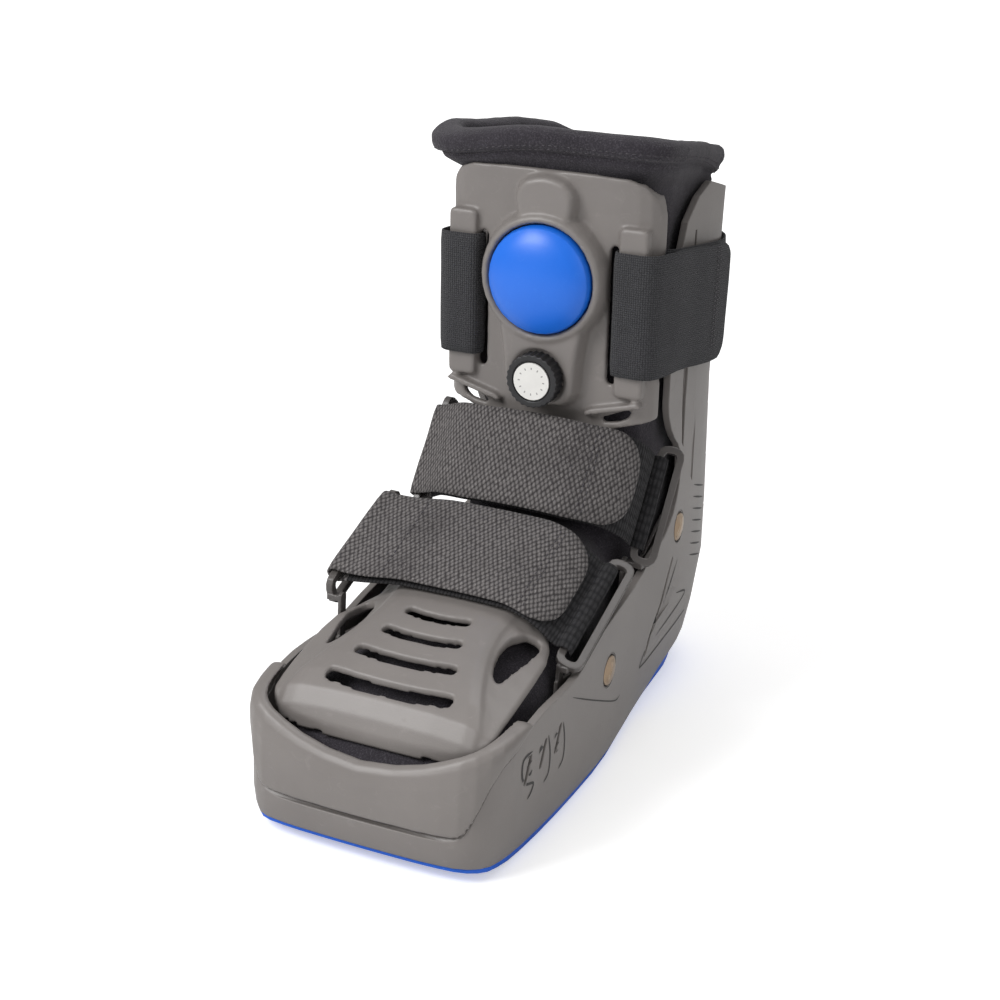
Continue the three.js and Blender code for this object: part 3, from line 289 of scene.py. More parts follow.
# strap fabric: rows of small knots on the slant, over the strap's own length and width
def strapMaterial(name, base, deep, fleck, turn, pitch, ribs):
    material, tree, surface = startMaterial(
        name, Roughness=0.9, Sheen_Weight=0.06, Sheen_Roughness=0.5, Specular_IOR_Level=0.2)
    coords = addNode(tree, "ShaderNodeTexCoord")
    turned = addNode(tree, "ShaderNodeMapping")
    turned.inputs["Rotation"].default_value = (0, 0, math.radians(turn))
    turned.inputs["Scale"].default_value = (1, ribs, 1)
    tree.links.new(coords.outputs["UV"], turned.inputs["Vector"])
    knots = setInputs(addNode(tree, "ShaderNodeTexVoronoi"), Scale=1000 / pitch, Randomness=0.22)
    hairs = setInputs(addNode(tree, "ShaderNodeTexNoise"), Scale=1700, Detail=5, Roughness=0.75)
    worn = setInputs(addNode(tree, "ShaderNodeTexNoise"), Scale=34, Detail=5, Roughness=0.6)
    tree.links.new(turned.outputs["Vector"], knots.inputs["Vector"])
    tree.links.new(coords.outputs["Object"], hairs.inputs["Vector"])
    tree.links.new(coords.outputs["Object"], worn.inputs["Vector"])
    color = mixColor(tree, ramp(tree, worn.outputs["Fac"], 0.05, 0.5), deep, base)
    color = mixColor(tree, ramp(tree, hairs.outputs["Fac"], 0.52, 0.75), color, fleck)
    # painted shade: the gaps between knots are darkened almost to the deep colour, as shade in the weave's
    # hollows
    gaps = ramp(tree, knots.outputs["Distance"], 0.22, 0.6)
    color = mixColor(tree, spread(tree, gaps, 0, 0.92), color, deep)
    tree.links.new(color, surface.inputs["Base Color"])
    woven = bump(tree, spread(tree, gaps, 1, 0), 0.8, 0.5 * mm)
    tree.links.new(bump(tree, hairs.outputs["Fac"], 0.4, 0.3 * mm, woven), surface.inputs["Normal"])
    return material


strapFabric = strapMaterial("strap fabric", (0.16, 0.149, 0.147, 1), (0.028, 0.025, 0.026, 1),
                            (0.36, 0.34, 0.335, 1), 52, 1.5, 0.62)
shinFabric = strapMaterial("shin strap fabric", (0.06, 0.06, 0.064, 1), (0.03, 0.03, 0.033, 1),
                           (0.1, 0.1, 0.105, 1), 0, 0.9, 1)
webbingFabric = strapMaterial("under webbing", (0.03, 0.029, 0.031, 1), (0.01, 0.01, 0.011, 1),
                              (0.06, 0.058, 0.06, 1), 0, 1.6, 0.4)
threadMaterial = linerMaterial("stitch thread", (0.07, 0.064, 0.072, 1), (0.045, 0.04, 0.046, 1),
                               (0.13, 0.12, 0.132, 1))
# groove shade: a near-black moulded material for the strips, painted shade in the shell's grooves and vents
grooveMaterial = mouldedMaterial(
    "groove shade", (0.03, 0.027, 0.026, 1), (0.022, 0.02, 0.019, 1), (0.06, 0.056, 0.053, 1), 0.6)
print("materials ready")


# hard pieces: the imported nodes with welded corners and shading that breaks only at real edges
smoothAngle = 27
weldGap = 0.01 * mm


def shadeGroup():
    tree = bpy.data.node_groups.new("smooth faces", "GeometryNodeTree")
    tree.interface.new_socket(name="Geometry", in_out="INPUT", socket_type="NodeSocketGeometry")
    tree.interface.new_socket(name="Geometry", in_out="OUTPUT", socket_type="NodeSocketGeometry")
    start, end = addNode(tree, "NodeGroupInput"), addNode(tree, "NodeGroupOutput")
    faces = addNode(tree, "GeometryNodeSetShadeSmooth", domain="FACE")
    edges = addNode(tree, "GeometryNodeSetShadeSmooth", domain="EDGE")
    angle = addNode(tree, "GeometryNodeInputMeshEdgeAngle")
    small = addNode(tree, "FunctionNodeCompare", data_type="FLOAT", operation="LESS_EQUAL")
    small.inputs[1].default_value = math.radians(smoothAngle)
    tree.links.new(start.outputs[0], faces.inputs["Geometry"])
    tree.links.new(faces.outputs[0], edges.inputs["Geometry"])
    tree.links.new(angle.outputs["Unsigned Angle"], small.inputs[0])
    tree.links.new(small.outputs[0], edges.inputs["Shade Smooth"])
    tree.links.new(edges.outputs[0], end.inputs[0])
    return tree


smoothFaces = shadeGroup()


def finishHard(name, material):
    node = nodes[name]
    node.data.materials.clear()
    node.data.materials.append(material)
    weld = node.modifiers.new("weld", "WELD")
    weld.merge_threshold = weldGap
    shade = node.modifiers.new("shade", "NODES")
    shade.node_group = smoothFaces
    weighted = node.modifiers.new("weighted", "WEIGHTED_NORMAL")
    weighted.keep_sharp = True


finishHard("rear_shell", shellMaterial)
for name in ("ring_foot_right", "ring_foot_left", "ring_ankle_right", "ring_ankle_left"):
    finishHard(name, ringMaterial)
finishHard("outsole", soleMaterial)
finishHard("pump_bulb", bulbMaterial)
finishHard("valve_knob", knobMaterial)
labelPoints = [vertex.co for vertex in nodes["valve_label"].data.vertices]
finishHard("valve_label", dialMaterial(sum(labelPoints, Vector()) / len(labelPoints)))
for name in ("bolt_foot_right", "bolt_foot_left", "bolt_ankle_right", "bolt_ankle_left"):
    finishHard(name, boltMaterial)
print("hard pieces ready")


def addPiece(name, mesh, material, body="boot"):
    piece = bpy.data.objects.new(name, mesh)
    bpy.context.scene.collection.objects.link(piece)
    if not mesh.materials:
        mesh.materials.append(material)
    for face in mesh.polygons:
        face.use_smooth = True
    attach(piece, body)
    return piece


def remeshed(sources, name, voxel, rounds):  # one closed skin over the nodes, edges rounded
    joined = bmesh.new()
    for source in sources:
        joined.from_mesh(nodes[source].data)
    bmesh.ops.remove_doubles(joined, verts=joined.verts, dist=weldGap)
    mesh = bpy.data.meshes.new(name + "_work")
    joined.to_mesh(mesh)
    joined.free()
    work = bpy.data.objects.new(name + "_work", mesh)
    bpy.context.scene.collection.objects.link(work)
    remesh = work.modifiers.new("remesh", "REMESH")
    remesh.mode = "VOXEL"
    remesh.voxel_size = voxel * mm
    smoothing = work.modifiers.new("smooth", "SMOOTH")
    smoothing.factor = 0.5
    smoothing.iterations = rounds
    made = bpy.data.meshes.new_from_object(
        work.evaluated_get(bpy.context.evaluated_depsgraph_get()))
    made.name = name
    made.materials.clear()
    bpy.data.objects.remove(work)
    bpy.data.meshes.remove(mesh)
    return made


# moulded covers with rounded edges
rounded = {
    "foot_panel": {"voxel": 0.56, "rounds": 11, "seam": 0},
    "toe_bumper": {"voxel": 0.55, "rounds": 12, "seam": 1.3},
    "shin_panel": {"voxel": 0.75, "rounds": 5, "seam": 0},
}
for name, values in rounded.items():
    made = remeshed([name], name + "_rounded", values["voxel"], values["rounds"])
    heights = [vertex.co.z for vertex in made.vertices]
    top, tall = max(heights), max(heights) - min(heights)
    for vertex in made.vertices:  # the seam opens the joint under the piece
        vertex.co.z += (top - vertex.co.z) / tall * values["seam"] * mm
    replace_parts(addPiece(name + "_rounded", made, shellMaterial), name)
print("covers ready")

# dark strips on both sides of the shell, painted shade standing in for its grooves, vents and recesses:
# place along the boot, then height, on the outer face
triangle = {"wide": 1, "tip": (19, 34), "tall": 34, "long": 74, "lean": 40, "inset": 10}
crescents = {"wide": 0.9, "places": [-80, -94], "top": 45, "tall": 19, "bulge": 3}
vents = {"wide": 4, "places": [-87, -100.5, -111], "top": 43, "tall": 8.5, "lean": 3}
backRibs = {"count": 7, "step": 5.5, "wide": 0.8, "start": (82, 96), "long": 23, "fall": 6.5}
boltRims = {"radius": 6.7, "wide": 1.2, "centres": [(-29, 47.5), (58, 83.5)]}
hook = {"wide": 1.1, "line": [(-108, 44), (-115, 43), (-115, 36), (-111, 32), (-105, 30), (-106, 27),
                              (-109, 25)]}
ledge = {"wide": 0.6, "line": [(-72, 52), (-46, 41), (-18, 30), (-11, 30)]}
grooveShadeEnds = {"thin": 0.3, "steps": 4}
grooveShadeRay = {"outside": 80, "reach": 0.06, "lift": 0.12}


def grooveShadeLines():  # rows of line, width and steps between its points
    tipY, tipZ = triangle["tip"]
    rise, reach, lean, inset = (triangle[key] for key in ("tall", "long", "lean", "inset"))
    outer = [(tipY + lean, tipZ + rise), (tipY + lean / 2, tipZ + rise / 2), (tipY, tipZ),
             (tipY + 4, tipZ - 3), (tipY + reach / 2, tipZ - 2.5), (tipY + reach, tipZ - 1.5)]
    inner = [(tipY + lean + 4, tipZ + rise / 2), (tipY + reach - inset, tipZ + inset),
             (tipY + lean / 2, tipZ + inset / 2)]
    lines = [(outer, triangle["wide"], 8), (inner, triangle["wide"], 8),
             (hook["line"], hook["wide"], 8), (ledge["line"], ledge["wide"], 8)]
    for place in crescents["places"]:
        top, tall, bulge = crescents["top"], crescents["tall"], crescents["bulge"]
        lines.append(([(place, top), (place + bulge, top - tall * 0.45),
                       (place + bulge, top - tall * 0.85), (place - 1, top - tall)],
                      crescents["wide"], 8))
    for place in vents["places"]:
        top, tall, lean = vents["top"], vents["tall"], vents["lean"]
        lines.append(([(place, top), (place + lean / 2, top - tall / 2), (place + lean, top - tall)],
                      vents["wide"], 8))
    for index in range(backRibs["count"]):
        y, z = backRibs["start"][0], backRibs["start"][1] - index * backRibs["step"]
        lines.append(([(y, z), (y + backRibs["long"] / 2, z - backRibs["fall"] / 2),
                       (y + backRibs["long"], z - backRibs["fall"])], backRibs["wide"], 6))
    for centre in boltRims["centres"]:
        lines.append((arcPoints(centre, boltRims["radius"], 0, 360, 20), boltRims["wide"], 2))
    return lines


def grooveShadeStrips():
    shell = nodes["rear_shell"]
    lines = grooveShadeLines()
    vertices, faces = [], []
    for side in (1, -1):
        for line, wide, steps in lines:
            path = spline(line, steps)
            row = None
            for i, (y, z) in enumerate(path):
                before, after = path[max(0, i - 1)], path[min(len(path) - 1, i + 1)]
                length = math.dist(before, after)
                fromEnd = min(i, len(path) - 1 - i)
                narrow = min(1, grooveShadeEnds["thin"] + (1 - grooveShadeEnds["thin"]) * fromEnd / grooveShadeEnds["steps"])
                half = wide / 2 * (narrow if path[0] != path[-1] else 1)
                alongY, alongZ = (after[0] - before[0]) / length, (after[1] - before[1]) / length
                pair = []
                for way in (1, -1):
                    start = Vector((side * grooveShadeRay["outside"], y - alongZ * half * way,
                                    z + alongY * half * way)) * mm
                    hit, place, _, _ = shell.ray_cast(
                        start, Vector((-side, 0, 0)), distance=grooveShadeRay["reach"])
                    if hit:
                        pair.append(place + Vector((side * grooveShadeRay["lift"], 0, 0)) * mm)
                if len(pair) < 2:
                    row = None
                    continue
                first = len(vertices)
                vertices.extend(pair)
                if row is not None:
                    faces.append((row, row + 1, first + 1, first))
                row = first
    mesh = bpy.data.meshes.new("shell_groove_shade")
    mesh.from_pydata(vertices, [], faces)
    addPiece("shell_groove_shade", mesh, grooveMaterial)


# soft liner: the hollow shape of the liner and its hem, rounded and filled out a little
soft = {"voxel": 1.68, "rounds": 4, "uneven": 0.5, "wave": 34, "fineWave": 4.2, "fineShare": 0.35,
        "fill": 0.7}
rim = {"widen": 8.5, "forward": 1.5, "hang": 6, "rise": 3, "left": (-4, -46), "near": (-6, 20),
       "far": (10, 90), "farLess": 0.7, "back": (30, 70), "wideFrom": (216, 238), "highFrom": (226, 246)}
hem = {"out": 0.7, "lower": (-3.4, -1), "upper": (3, 6), "groove": 1.5, "grooveDown": 3.4,
       "grooveWide": 1.4}
legTop = [(224, 40.6, -1.4, 109), (234, 42, -2.6, 111), (241, 47, -4.8, 112), (246, 49.6, -9.4, 113.5),
          (266, 51.4, -13, 116)]
rimLine = [(-30, 249.5), (-8, 248.8), (8, 247.4), (30, 245.6), (55, 242), (78, 237.6), (100, 233),
           (140, 231)]


def rimShift(place):  # left of the rim: the near corner hangs low and wide, the far one stands up
    left = ease(*rim["left"], place.x)
    near = 1 - ease(*rim["near"], place.y)
    wide = ease(*rim["wideFrom"], place.z) * (1 - rim["farLess"] * ease(*rim["far"], place.y))
    high = ease(*rim["highFrom"], place.z)
    rise = rim["rise"] * ease(*rim["back"], place.y) - rim["hang"] * near
    return Vector((-rim["widen"] * left * wide, -rim["forward"] * near * left * high, rise * left * high))


def hemShape(place):  # how far the hem stands out, with a groove under it
    level = place.z - readTable(rimLine, place.y - shiftY, 1)
    away = (level + hem["grooveDown"]) / hem["grooveWide"]
    return (hem["out"] * ease(*hem["lower"], level) * (1 - ease(*hem["upper"], level))
            - hem["groove"] * math.exp(-away ** 2))


def softLiner():
    made = remeshed(["liner", "liner_binding"], "padded_liner", soft["voxel"], soft["rounds"])
    moved = []
    for vertex in made.vertices:
        wide = noise.noise(vertex.co * soft["wave"])
        fine = noise.noise(vertex.co * soft["wave"] * soft["fineWave"])
        out = (wide + soft["fineShare"] * fine) * soft["uneven"] + hemShape(vertex.co / mm)
        moved.append(vertex.co + vertex.normal * out * mm)
    for vertex, place in zip(made.vertices, moved):
        vertex.co = place + rimShift(place / mm) * mm
    piece = addPiece("padded_liner", made, linerFabric)
    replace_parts(piece, "liner", "liner_binding")
    return piece


linerPiece = softLiner()
print("liner ready")


# straps: bands with a rounded edge, drawn along their own path, sizes in millimetres
band = {"steps": 12, "bulge": 1.012, "edgeFrom": 0.97, "edgeThin": 0.62, "endThin": 0.35, "endLong": 1.2,
        "sway": 0.22, "swayAlong": 0.035, "swayAcross": 1.4}


def bandPiece(name, line, width, thickness, tip, fabrics, fabricAt, place):
    # line holds plane points, and place turns them and a distance across into a point of the boot
    count = len(line)
    lengths = [0]
    for a, b in zip(line, line[1:]):
        lengths.append(lengths[-1] + math.dist(a, b))
    total = lengths[-1]
    section = []
    for face in (1, -1):
        for step in range(band["steps"] + 1):
            section.append((lerp(-face, face, step / band["steps"]), face))
        section.append((face * band["bulge"], 0))
    vertices, texture = [], []
    for i, (u, v) in enumerate(line):
        before, after = line[max(0, i - 1)], line[min(count - 1, i + 1)]
        length = math.dist(before, after)
        normal = (-(after[1] - before[1]) / length, (after[0] - before[0]) / length)
        half = width / 2 * tip(total - lengths[i])
        fromEnd = min(lengths[i], total - lengths[i])
        taper = min(1, band["endThin"] + (1 - band["endThin"]) * fromEnd / band["endLong"])
        for side, face in section:
            edge = 1 if abs(side) < band["edgeFrom"] else band["edgeThin"]
            lift = face * thickness / 2 * edge * taper
            sway = band["sway"] * noise.noise(
                Vector((lengths[i] * band["swayAlong"], side * band["swayAcross"], width)))
            vertices.append(place(u + normal[0] * (lift + sway), v + normal[1] * (lift + sway),
                                  side * half))
            texture.append((lengths[i] * mm, side * half * mm))
    ring = len(section)
    faces = []
    for i in range(count - 1):
        for j in range(ring):
            k = (j + 1) % ring
            faces.append((i * ring + j, i * ring + k, (i + 1) * ring + k, (i + 1) * ring + j))
    faces.append(tuple(range(ring))[::-1])
    faces.append(tuple((count - 1) * ring + j for j in range(ring)))
    mesh = bpy.data.meshes.new(name)
    mesh.from_pydata(vertices, [], faces)
    layer = mesh.uv_layers.new(name="length and width")
    for loop in mesh.loops:
        layer.data[loop.index].uv = texture[loop.vertex_index]
    for fabric in fabrics:
        mesh.materials.append(fabric)
    for face in mesh.polygons:
        face.material_index = fabricAt(lengths[min(count - 1, face.vertices[0] // ring)])
    mesh.validate()
    fix = bmesh.new()
    fix.from_mesh(mesh)
    bmesh.ops.recalc_face_normals(fix, faces=fix.faces)
    fix.to_mesh(mesh)
    fix.free()
    return addPiece(name, mesh, fabrics[0])


def arcPoints(centre, radius, start, end, steps):
    return [(centre[0] + radius * math.cos(math.radians(lerp(start, end, s / steps))),
             centre[1] + radius * math.sin(math.radians(lerp(start, end, s / steps))))
            for s in range(steps + 1)]


grooveShadeStrips()
print("marks ready")

lowerStraps = {
    "foot": {
        "slope": 25.5, "width": 48, "bend": 2.4, "middle": (0, -57.4, 93.8),
        "under": [(41.8, -14.4), (34, -6.8), (24, -3.8), (8, -3), (-14, -3), (-34, -3.2), (-46, -4.8)],
        "over": [(-46, -0.3), (-34, 0), (-14, 0.2), (8, 0), (22, -0.8), (32, -3.4), (38, -7.2),
                 (41.6, -11)],
        "barRight": (45.6, -18.4), "barLeft": (-51, -2.9),
    },
    "ankle": {
        "slope": 57, "width": 40, "bend": -1.4, "middle": (0, -16.4, 124.2),
        "under": [(42.4, -31), (41, -21), (35, -11), (22, -4.8), (6, -2.6), (-14, -3), (-32, -8),
                  (-42.6, -17.4)],
        "over": [(-44.5, -12.4), (-33, -4.9), (-15, -0.2), (5, 0.4), (20, -1.6), (32, -6.6), (39, -12.6),
                 (43.6, -19)],
        "barRight": (43.6, -38), "barLeft": (-49.6, -18.8),
    },
}
strapThickness = 1.6
wrapRadius = math.hypot(3, 2.8) / 2 + 0.5 + strapThickness / 2


def strapPlace(values):
    angle = math.radians(values["slope"])
    across = Vector((0, math.cos(angle), math.sin(angle)))
    off = Vector((0, -math.sin(angle), math.cos(angle)))
    middle = Vector(values["middle"]) + Vector((0, shiftY, 0))

    def place(u, v, w):  # the band bows a little between its rings
        bow = values["bend"] * (1 - ease(20, 40, abs(u)))
        return (middle + Vector((u, 0, 0)) + off * v + across * (w + bow)) * mm
    return place


def roundTip(radius, half):
    def tip(fromEnd):
        gap = max(0, radius - fromEnd)
        return (half - radius + math.sqrt(max(0, radius * radius - gap * gap))) / half
    return tip


def lowerStrap(key):
    values = lowerStraps[key]
    right = arcPoints(values["barRight"], wrapRadius, -60, 120, 5)[1:]
    left = arcPoints(values["barLeft"], wrapRadius, 300, 90, 6)
    line = spline(right + values["under"] + left + values["over"], 5)
    underEnd = (len(right) + len(values["under"]) - 1) * 5
    length = sum(math.dist(a, b) for a, b in zip(line[:underEnd], line[1:underEnd + 1]))
    return bandPiece(
        key + "_strap_band", line, values["width"], strapThickness,
        roundTip(15, values["width"] / 2), [strapFabric, webbingFabric],
        lambda along: 1 if along < length else 0, strapPlace(values))


footBand = lowerStrap("foot")
ankleBand = lowerStrap("ankle")
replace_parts(footBand, "foot_strap")
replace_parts(ankleBand, "ankle_strap")

# shin strap: round the left bar, the back of the shell and the right bar, then back on itself
shin = {
    "width": 50, "low": 160, "pivotZ": 181, "lean": 4.6, "end": 90, "drop": 7,
    "behind": [(41.8, 12.4), (40, 8.2), (35.8, 5.4)],
    "loop": [(32.4, 4.2), (29.9, 1.3), (29.8, -2.2), (31.6, -5.2), (37, -5.8), (43.4, -5.7)],
    "leftOut": [(47, -2.4), (47.8, 6), (47.6, 18)],
    "rightIn": [(46.6, 21), (44.8, 16)],
    "rightOut": [(47.2, -2.2), (48.8, 6), (49.4, 18)],
    "clip": 11, "hug": 0.55, "layerGap": 0.6, "wallFrom": 34, "freeShort": 16, "standOff": 3,
    "standRun": (24, 66), "leanRun": (4, 60), "dropRun": (20, 80),
}
# shares of the sole's length from the toe, and of its half width, down the back half of the shell
soleToe, soleLength, soleHalf = -148, 288, 54
wall = {"narrow": 0.05, "narrowRun": (0.4, 0.6), "forward": 8, "forwardRun": (0.78, 1)}
backWall = [(0.514, 0.911), (0.611, 0.881), (0.715, 0.841), (0.819, 0.778), (0.889, 0.704),
            (0.941, 0.602), (0.976, 0.444), (0.995, 0.222), (1, 0)]


def wallLine(out):  # outline of the upright from the side to the middle of the back
    points = spline([(half * soleHalf, soleToe + along * soleLength) for along, half in backWall], 4)
    line = []
    for i, (x, y) in enumerate(points):
        before, after = points[max(0, i - 1)], points[min(len(points) - 1, i + 1)]
        length = math.dist(before, after)
        outX, outY = (after[1] - before[1]) / length, -(after[0] - before[0]) / length
        if i == len(points) - 1:
            outX, outY = 0, 1
        along = (y - soleToe) / soleLength
        line.append((x * (1 - wall["narrow"] * ease(*wall["narrowRun"], along)) + outX * out,
                     y + outY * out - wall["forward"] * ease(*wall["forwardRun"], along)))
    return line


def shinStrap():
    hug = shin["hug"] + strapThickness / 2
    layer = strapThickness + shin["layerGap"]
    near = [p for p in wallLine(hug) if p[1] > shin["wallFrom"]][::2]
    free = [(x + shin["standOff"] * ease(*shin["standRun"], y), y) for x, y in wallLine(hug + layer)]
    outer = [p for p in free if shin["wallFrom"] < p[1] < shin["end"] - shin["freeShort"]][::2]
    tail = [p for p in free if p[1] > shin["end"]][0]
    leftSide = [(-x, y) for x, y in shin["behind"] + shin["loop"] + shin["leftOut"]]
    path = (leftSide + [(-x, y) for x, y in near] + near[-2::-1] + shin["rightIn"]
            + shin["behind"] + shin["loop"] + shin["rightOut"] + outer + [(tail[0], shin["end"])])
    line = spline(path, 5)

    def place(u, v, w):
        z = shin["low"] + shin["width"] / 2 + w
        tilt = math.tan(math.radians(shin["lean"])) * (1 - ease(*shin["leanRun"], v))
        shift = -(z - shin["pivotZ"]) * tilt
        dropStart, dropLong = shin["dropRun"]
        drop = shin["drop"] * min(1, max(0, (v - dropStart) / dropLong))
        return Vector((u, v + shift + shiftY, z - drop)) * mm

    def tip(fromEnd):  # the corners of the free end are cut off a little
        return 1 - max(0, shin["clip"] - fromEnd) / shin["width"]
    return bandPiece("shin_strap_band", line, shin["width"], strapThickness, tip,
                     [shinFabric], lambda along: 0, place)


shinBand = shinStrap()
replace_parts(shinBand, "shin_strap")
print("straps ready")


# stitches: rows of short thread ends pressed into the cloth
def stitchRow(name, points, normals, size, pitch, body="boot"):
    shape = bmesh.new()
    travelled, target = 0, pitch / 2
    for (a, b), (na, nb) in zip(zip(points, points[1:]), zip(normals, normals[1:])):
        span = (b - a).length / mm
        while span and travelled + span > target:
            t = (target - travelled) / span
            centre, up = a.lerp(b, t), na.lerp(nb, t).normalized()
            forward = (b - a).normalized()
            side = up.cross(forward)
            turn = Matrix((forward * size[0], side * size[1], up * size[2])).transposed().to_4x4()
            bmesh.ops.create_icosphere(
                shape, subdivisions=1, radius=0.5 * mm, matrix=Matrix.Translation(centre) @ turn)
            target += pitch
        travelled += span
    mesh = bpy.data.meshes.new(name)
    shape.to_mesh(mesh)
    shape.free()
    return addPiece(name, mesh, threadMaterial, body)


rimPath = {"power": 2 / 6, "halfLong": 58, "middle": 52, "narrow": 0.13, "narrowRun": (5, 95)}


def rimPoint(turn, level, out):
    u, v = (math.copysign(abs(part) ** rimPath["power"], part) for part in (math.cos(turn), math.sin(turn)))
    y0 = v * rimPath["halfLong"] + rimPath["middle"]
    narrow = 1 - rimPath["narrow"] * ease(*rimPath["narrowRun"], y0)
    z = readTable(rimLine, y0, 1)
    half, front, back = [readTable(legTop, z + min(0, level), col) for col in (1, 2, 3)]
    return Vector((u * (half + out) * narrow, v * ((back - front) / 2 + out) + (front + back) / 2 + shiftY,
                   z + level)) * mm


def faceLine(piece, starts, direction, reach=0.03):  # points where a line meets a piece
    points, normals = [], []
    for start in starts:
        hit, place, normal, _ = piece.ray_cast(start, direction, distance=reach)
        if hit:
            points.append(place)
            normals.append(normal.copy())
    return points, normals


hemThread = {"levels": (0.4, -1.2), "turn": 1.5, "out": 14, "middleY": 54, "lift": 0.1, "reach": 0.04,
             "size": (1.8, 0.5, 0.45), "pitch": 2.7}


def linerStitches():  # two rows round the outside of the hem
    middle = Vector((0, hemThread["middleY"] * mm, 0))
    for index, level in enumerate(hemThread["levels"]):
        points, normals = [], []
        for step in range(int(360 / hemThread["turn"]) + 1):
            start = rimPoint(math.radians(step * hemThread["turn"]), level, hemThread["out"])
            start += rimShift(start / mm) * mm
            inward = (middle - start) * Vector((1, 1, 0))
            hitPoints, hitNormals = faceLine(linerPiece, [start], inward.normalized(),
                                             hemThread["reach"])
            points += [p + n * hemThread["lift"] * mm for p, n in zip(hitPoints, hitNormals)]
            normals += hitNormals
        row = stitchRow(f"hem_stitches_{index + 1}", points, normals, hemThread["size"],
                        hemThread["pitch"])


bpy.context.view_layer.update()
linerStitches()

# rows of stitches across a strap: place along it, half length, and rows of thread bars on the shin strap
strapThread = {"size": (1.9, 0.55, 0.4), "pitch": 2.7, "steps": 24, "lift": 0.15, "start": 12}
strapRows = [
    {"name": "foot_stitches_left", "strap": "foot", "column": -31, "half": 22},
    {"name": "foot_stitches_right_1", "strap": "foot", "column": 27.5, "half": 22},
    {"name": "foot_stitches_right_2", "strap": "foot", "column": 29.5, "half": 22},
    {"name": "ankle_stitches_1", "strap": "ankle", "column": 27.5, "half": 18},
    {"name": "ankle_stitches_2", "strap": "ankle", "column": 29.5, "half": 18},
]
shinThread = {"size": (0.7, 3.6, 0.4), "pitch": 1.9, "lift": 0.1, "columns": (60, 63.5), "low": 163,
              "high": 208, "outside": 80, "reach": 0.06}
bands = {"foot": footBand, "ankle": ankleBand}


def sewRow(name, points, normals, thread):
    if len(points) > 2:
        raised = [point + normal * thread["lift"] * mm for point, normal in zip(points, normals)]
        stitchRow(name, raised, normals, thread["size"], thread["pitch"])


for row in strapRows:
    placeOn = strapPlace(lowerStraps[row["strap"]])
    outward = (placeOn(0, 1, 0) - placeOn(0, 0, 0)).normalized()
    low = placeOn(row["column"], strapThread["start"], -row["half"])
    high = placeOn(row["column"], strapThread["start"], row["half"])
    steps = strapThread["steps"]
    starts = [low.lerp(high, step / steps) for step in range(steps + 1)]
    points, normals = faceLine(bands[row["strap"]], starts, -outward)
    sewRow(row["name"], points, normals, strapThread)
for index, column in enumerate(shinThread["columns"]):
    starts = [Vector((shinThread["outside"], column + shiftY, z)) * mm
              for z in range(shinThread["low"], shinThread["high"])]
    points, normals = faceLine(shinBand, starts, Vector((-1, 0, 0)), shinThread["reach"])
    sewRow(f"shin_stitches_{index + 1}", points, normals, shinThread)
print("stitches ready")

# floor, light and camera
floorSize = 60
floorMesh = bpy.data.meshes.new("floor")
floorMesh.from_pydata([(-floorSize, -floorSize, 0), (floorSize, -floorSize, 0),
                       (floorSize, floorSize, 0), (-floorSize, floorSize, 0)], [], [(0, 1, 2, 3)])
floor = bpy.data.objects.new("floor", floorMesh)
bpy.context.scene.collection.objects.link(floor)
floorMaterial, floorTree, floorSurface = startMaterial("pale floor", Roughness=0.7)
floorNoise = setInputs(addNode(floorTree, "ShaderNodeTexNoise"), Scale=6, Detail=3)
floorTree.links.new(mixColor(floorTree, floorNoise.outputs["Fac"], (0.86, 0.86, 0.86, 1),
                             (0.9, 0.9, 0.9, 1)), floorSurface.inputs["Base Color"])
# painted light: for camera rays only the floor glows, less near the boot and more far out, so the backdrop
# stays white and the boot's shadow is lifted
seen = addNode(floorTree, "ShaderNodeLightPath")
floorPlace = addNode(floorTree, "ShaderNodeTexCoord")
floorFar = addNode(floorTree, "ShaderNodeVectorMath", operation="LENGTH")
floorTree.links.new(floorPlace.outputs["Object"], floorFar.inputs[0])
floorCameraGlow = setInputs(addNode(floorTree, "ShaderNodeMapRange"), From_Min=0.3, From_Max=1.6, To_Min=0.44,
                  To_Max=0.95)
floorTree.links.new(floorFar.outputs["Value"], floorCameraGlow.inputs["Value"])
cameraOnlyGlow = addNode(floorTree, "ShaderNodeMath", operation="MULTIPLY")
floorTree.links.new(floorCameraGlow.outputs["Result"], cameraOnlyGlow.inputs[0])
floorTree.links.new(seen.outputs["Is Camera Ray"], cameraOnlyGlow.inputs[1])
floorTree.links.new(cameraOnlyGlow.outputs[0], floorSurface.inputs["Emission Strength"])
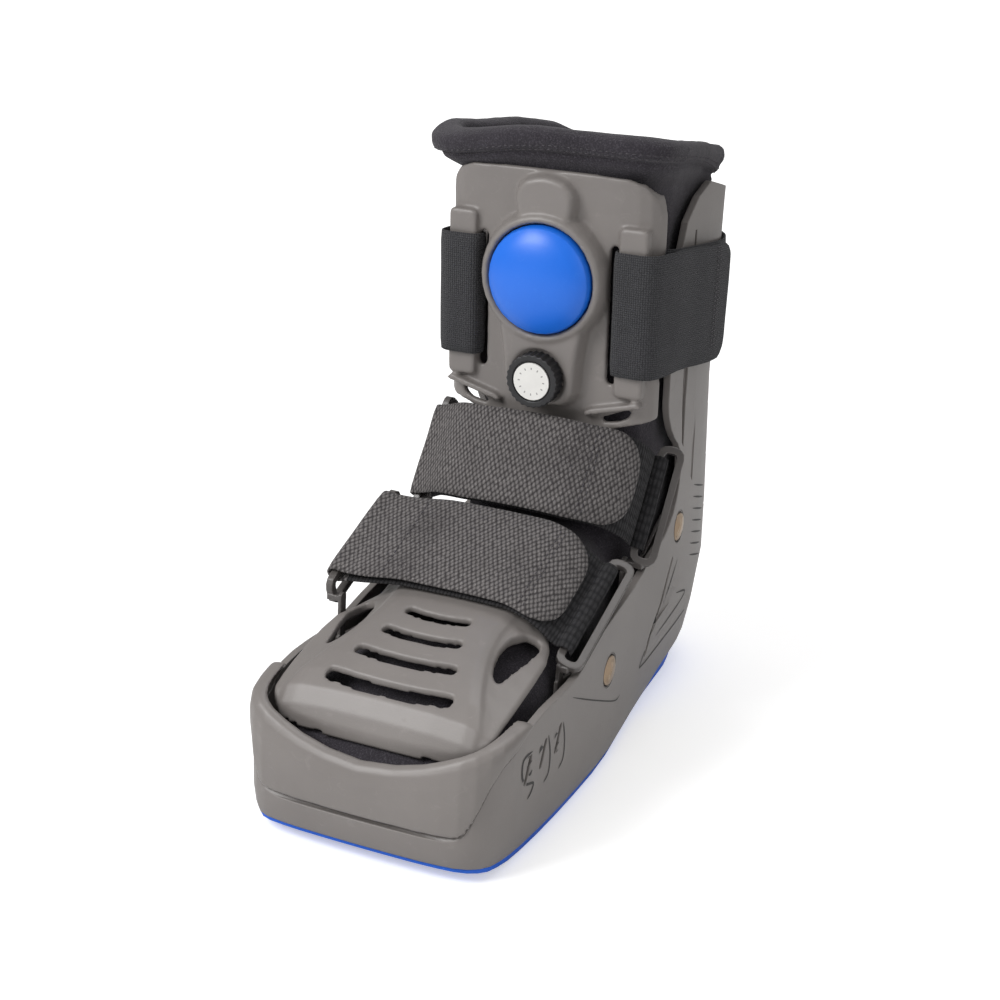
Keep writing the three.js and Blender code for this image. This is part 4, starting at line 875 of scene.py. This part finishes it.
floorSurface.inputs["Emission Color"].default_value = (1, 1, 1, 1)
floorMesh.materials.append(floorMaterial)

world = bpy.data.worlds.new("studio")
world.use_nodes = True
world.node_tree.nodes["Background"].inputs["Color"].default_value = (1, 0.99, 0.985, 1)
worldSeen = addNode(world.node_tree, "ShaderNodeLightPath")
world.node_tree.links.new(spread(world.node_tree, worldSeen.outputs["Is Camera Ray"], 0.35, 1.05),
                          world.node_tree.nodes["Background"].inputs["Strength"])
bpy.context.scene.world = world
bpy.context.scene.view_settings.view_transform = "Standard"


def softLight(name, place, target, size, power):
    data = bpy.data.lights.new(name, "AREA")
    data.size = size
    data.energy = power
    light = bpy.data.objects.new(name, data)
    light.location = place
    light.rotation_euler = (Vector(target) - Vector(place)).to_track_quat("-Z", "Y").to_euler()
    bpy.context.scene.collection.objects.link(light)


softLight("key", (-0.65, -1.0, 1.0), (0, 0, 0.12), 0.7, 17)
softLight("side", (1.2, -0.5, 0.7), (0, 0, 0.1), 0.9, 3)
softLight("top", (0.1, 0.3, 1.4), (0, 0, 0.1), 0.8, 6)

lens = {"turn": 24.7, "height": 17.3, "roll": 3.17, "distance": 0.794, "focal": 1878,
        "frame": 1000, "sensor": 36, "target": (-16.8, 0, 97.9)}
turn, height, roll = (math.radians(lens[key]) for key in ("turn", "height", "roll"))
back = Vector((math.sin(turn) * math.cos(height), -math.cos(turn) * math.cos(height), math.sin(height)))
flat = Vector((math.cos(turn), math.sin(turn), 0))
upright = back.cross(flat)
right = flat * math.cos(roll) + upright * math.sin(roll)
up = upright * math.cos(roll) - flat * math.sin(roll)
target = (Vector(lens["target"]) + Vector((0, shiftY, 0))) * mm
cameraData = bpy.data.cameras.new("camera")
cameraData.sensor_width = lens["sensor"]
cameraData.lens = lens["focal"] * lens["sensor"] / lens["frame"]
camera = bpy.data.objects.new("camera", cameraData)
camera.matrix_world = Matrix((right, up, back)).transposed().to_4x4()
camera.location = target + back * lens["distance"]
bpy.context.scene.collection.objects.link(camera)
bpy.context.scene.camera = camera

print("scene ready")
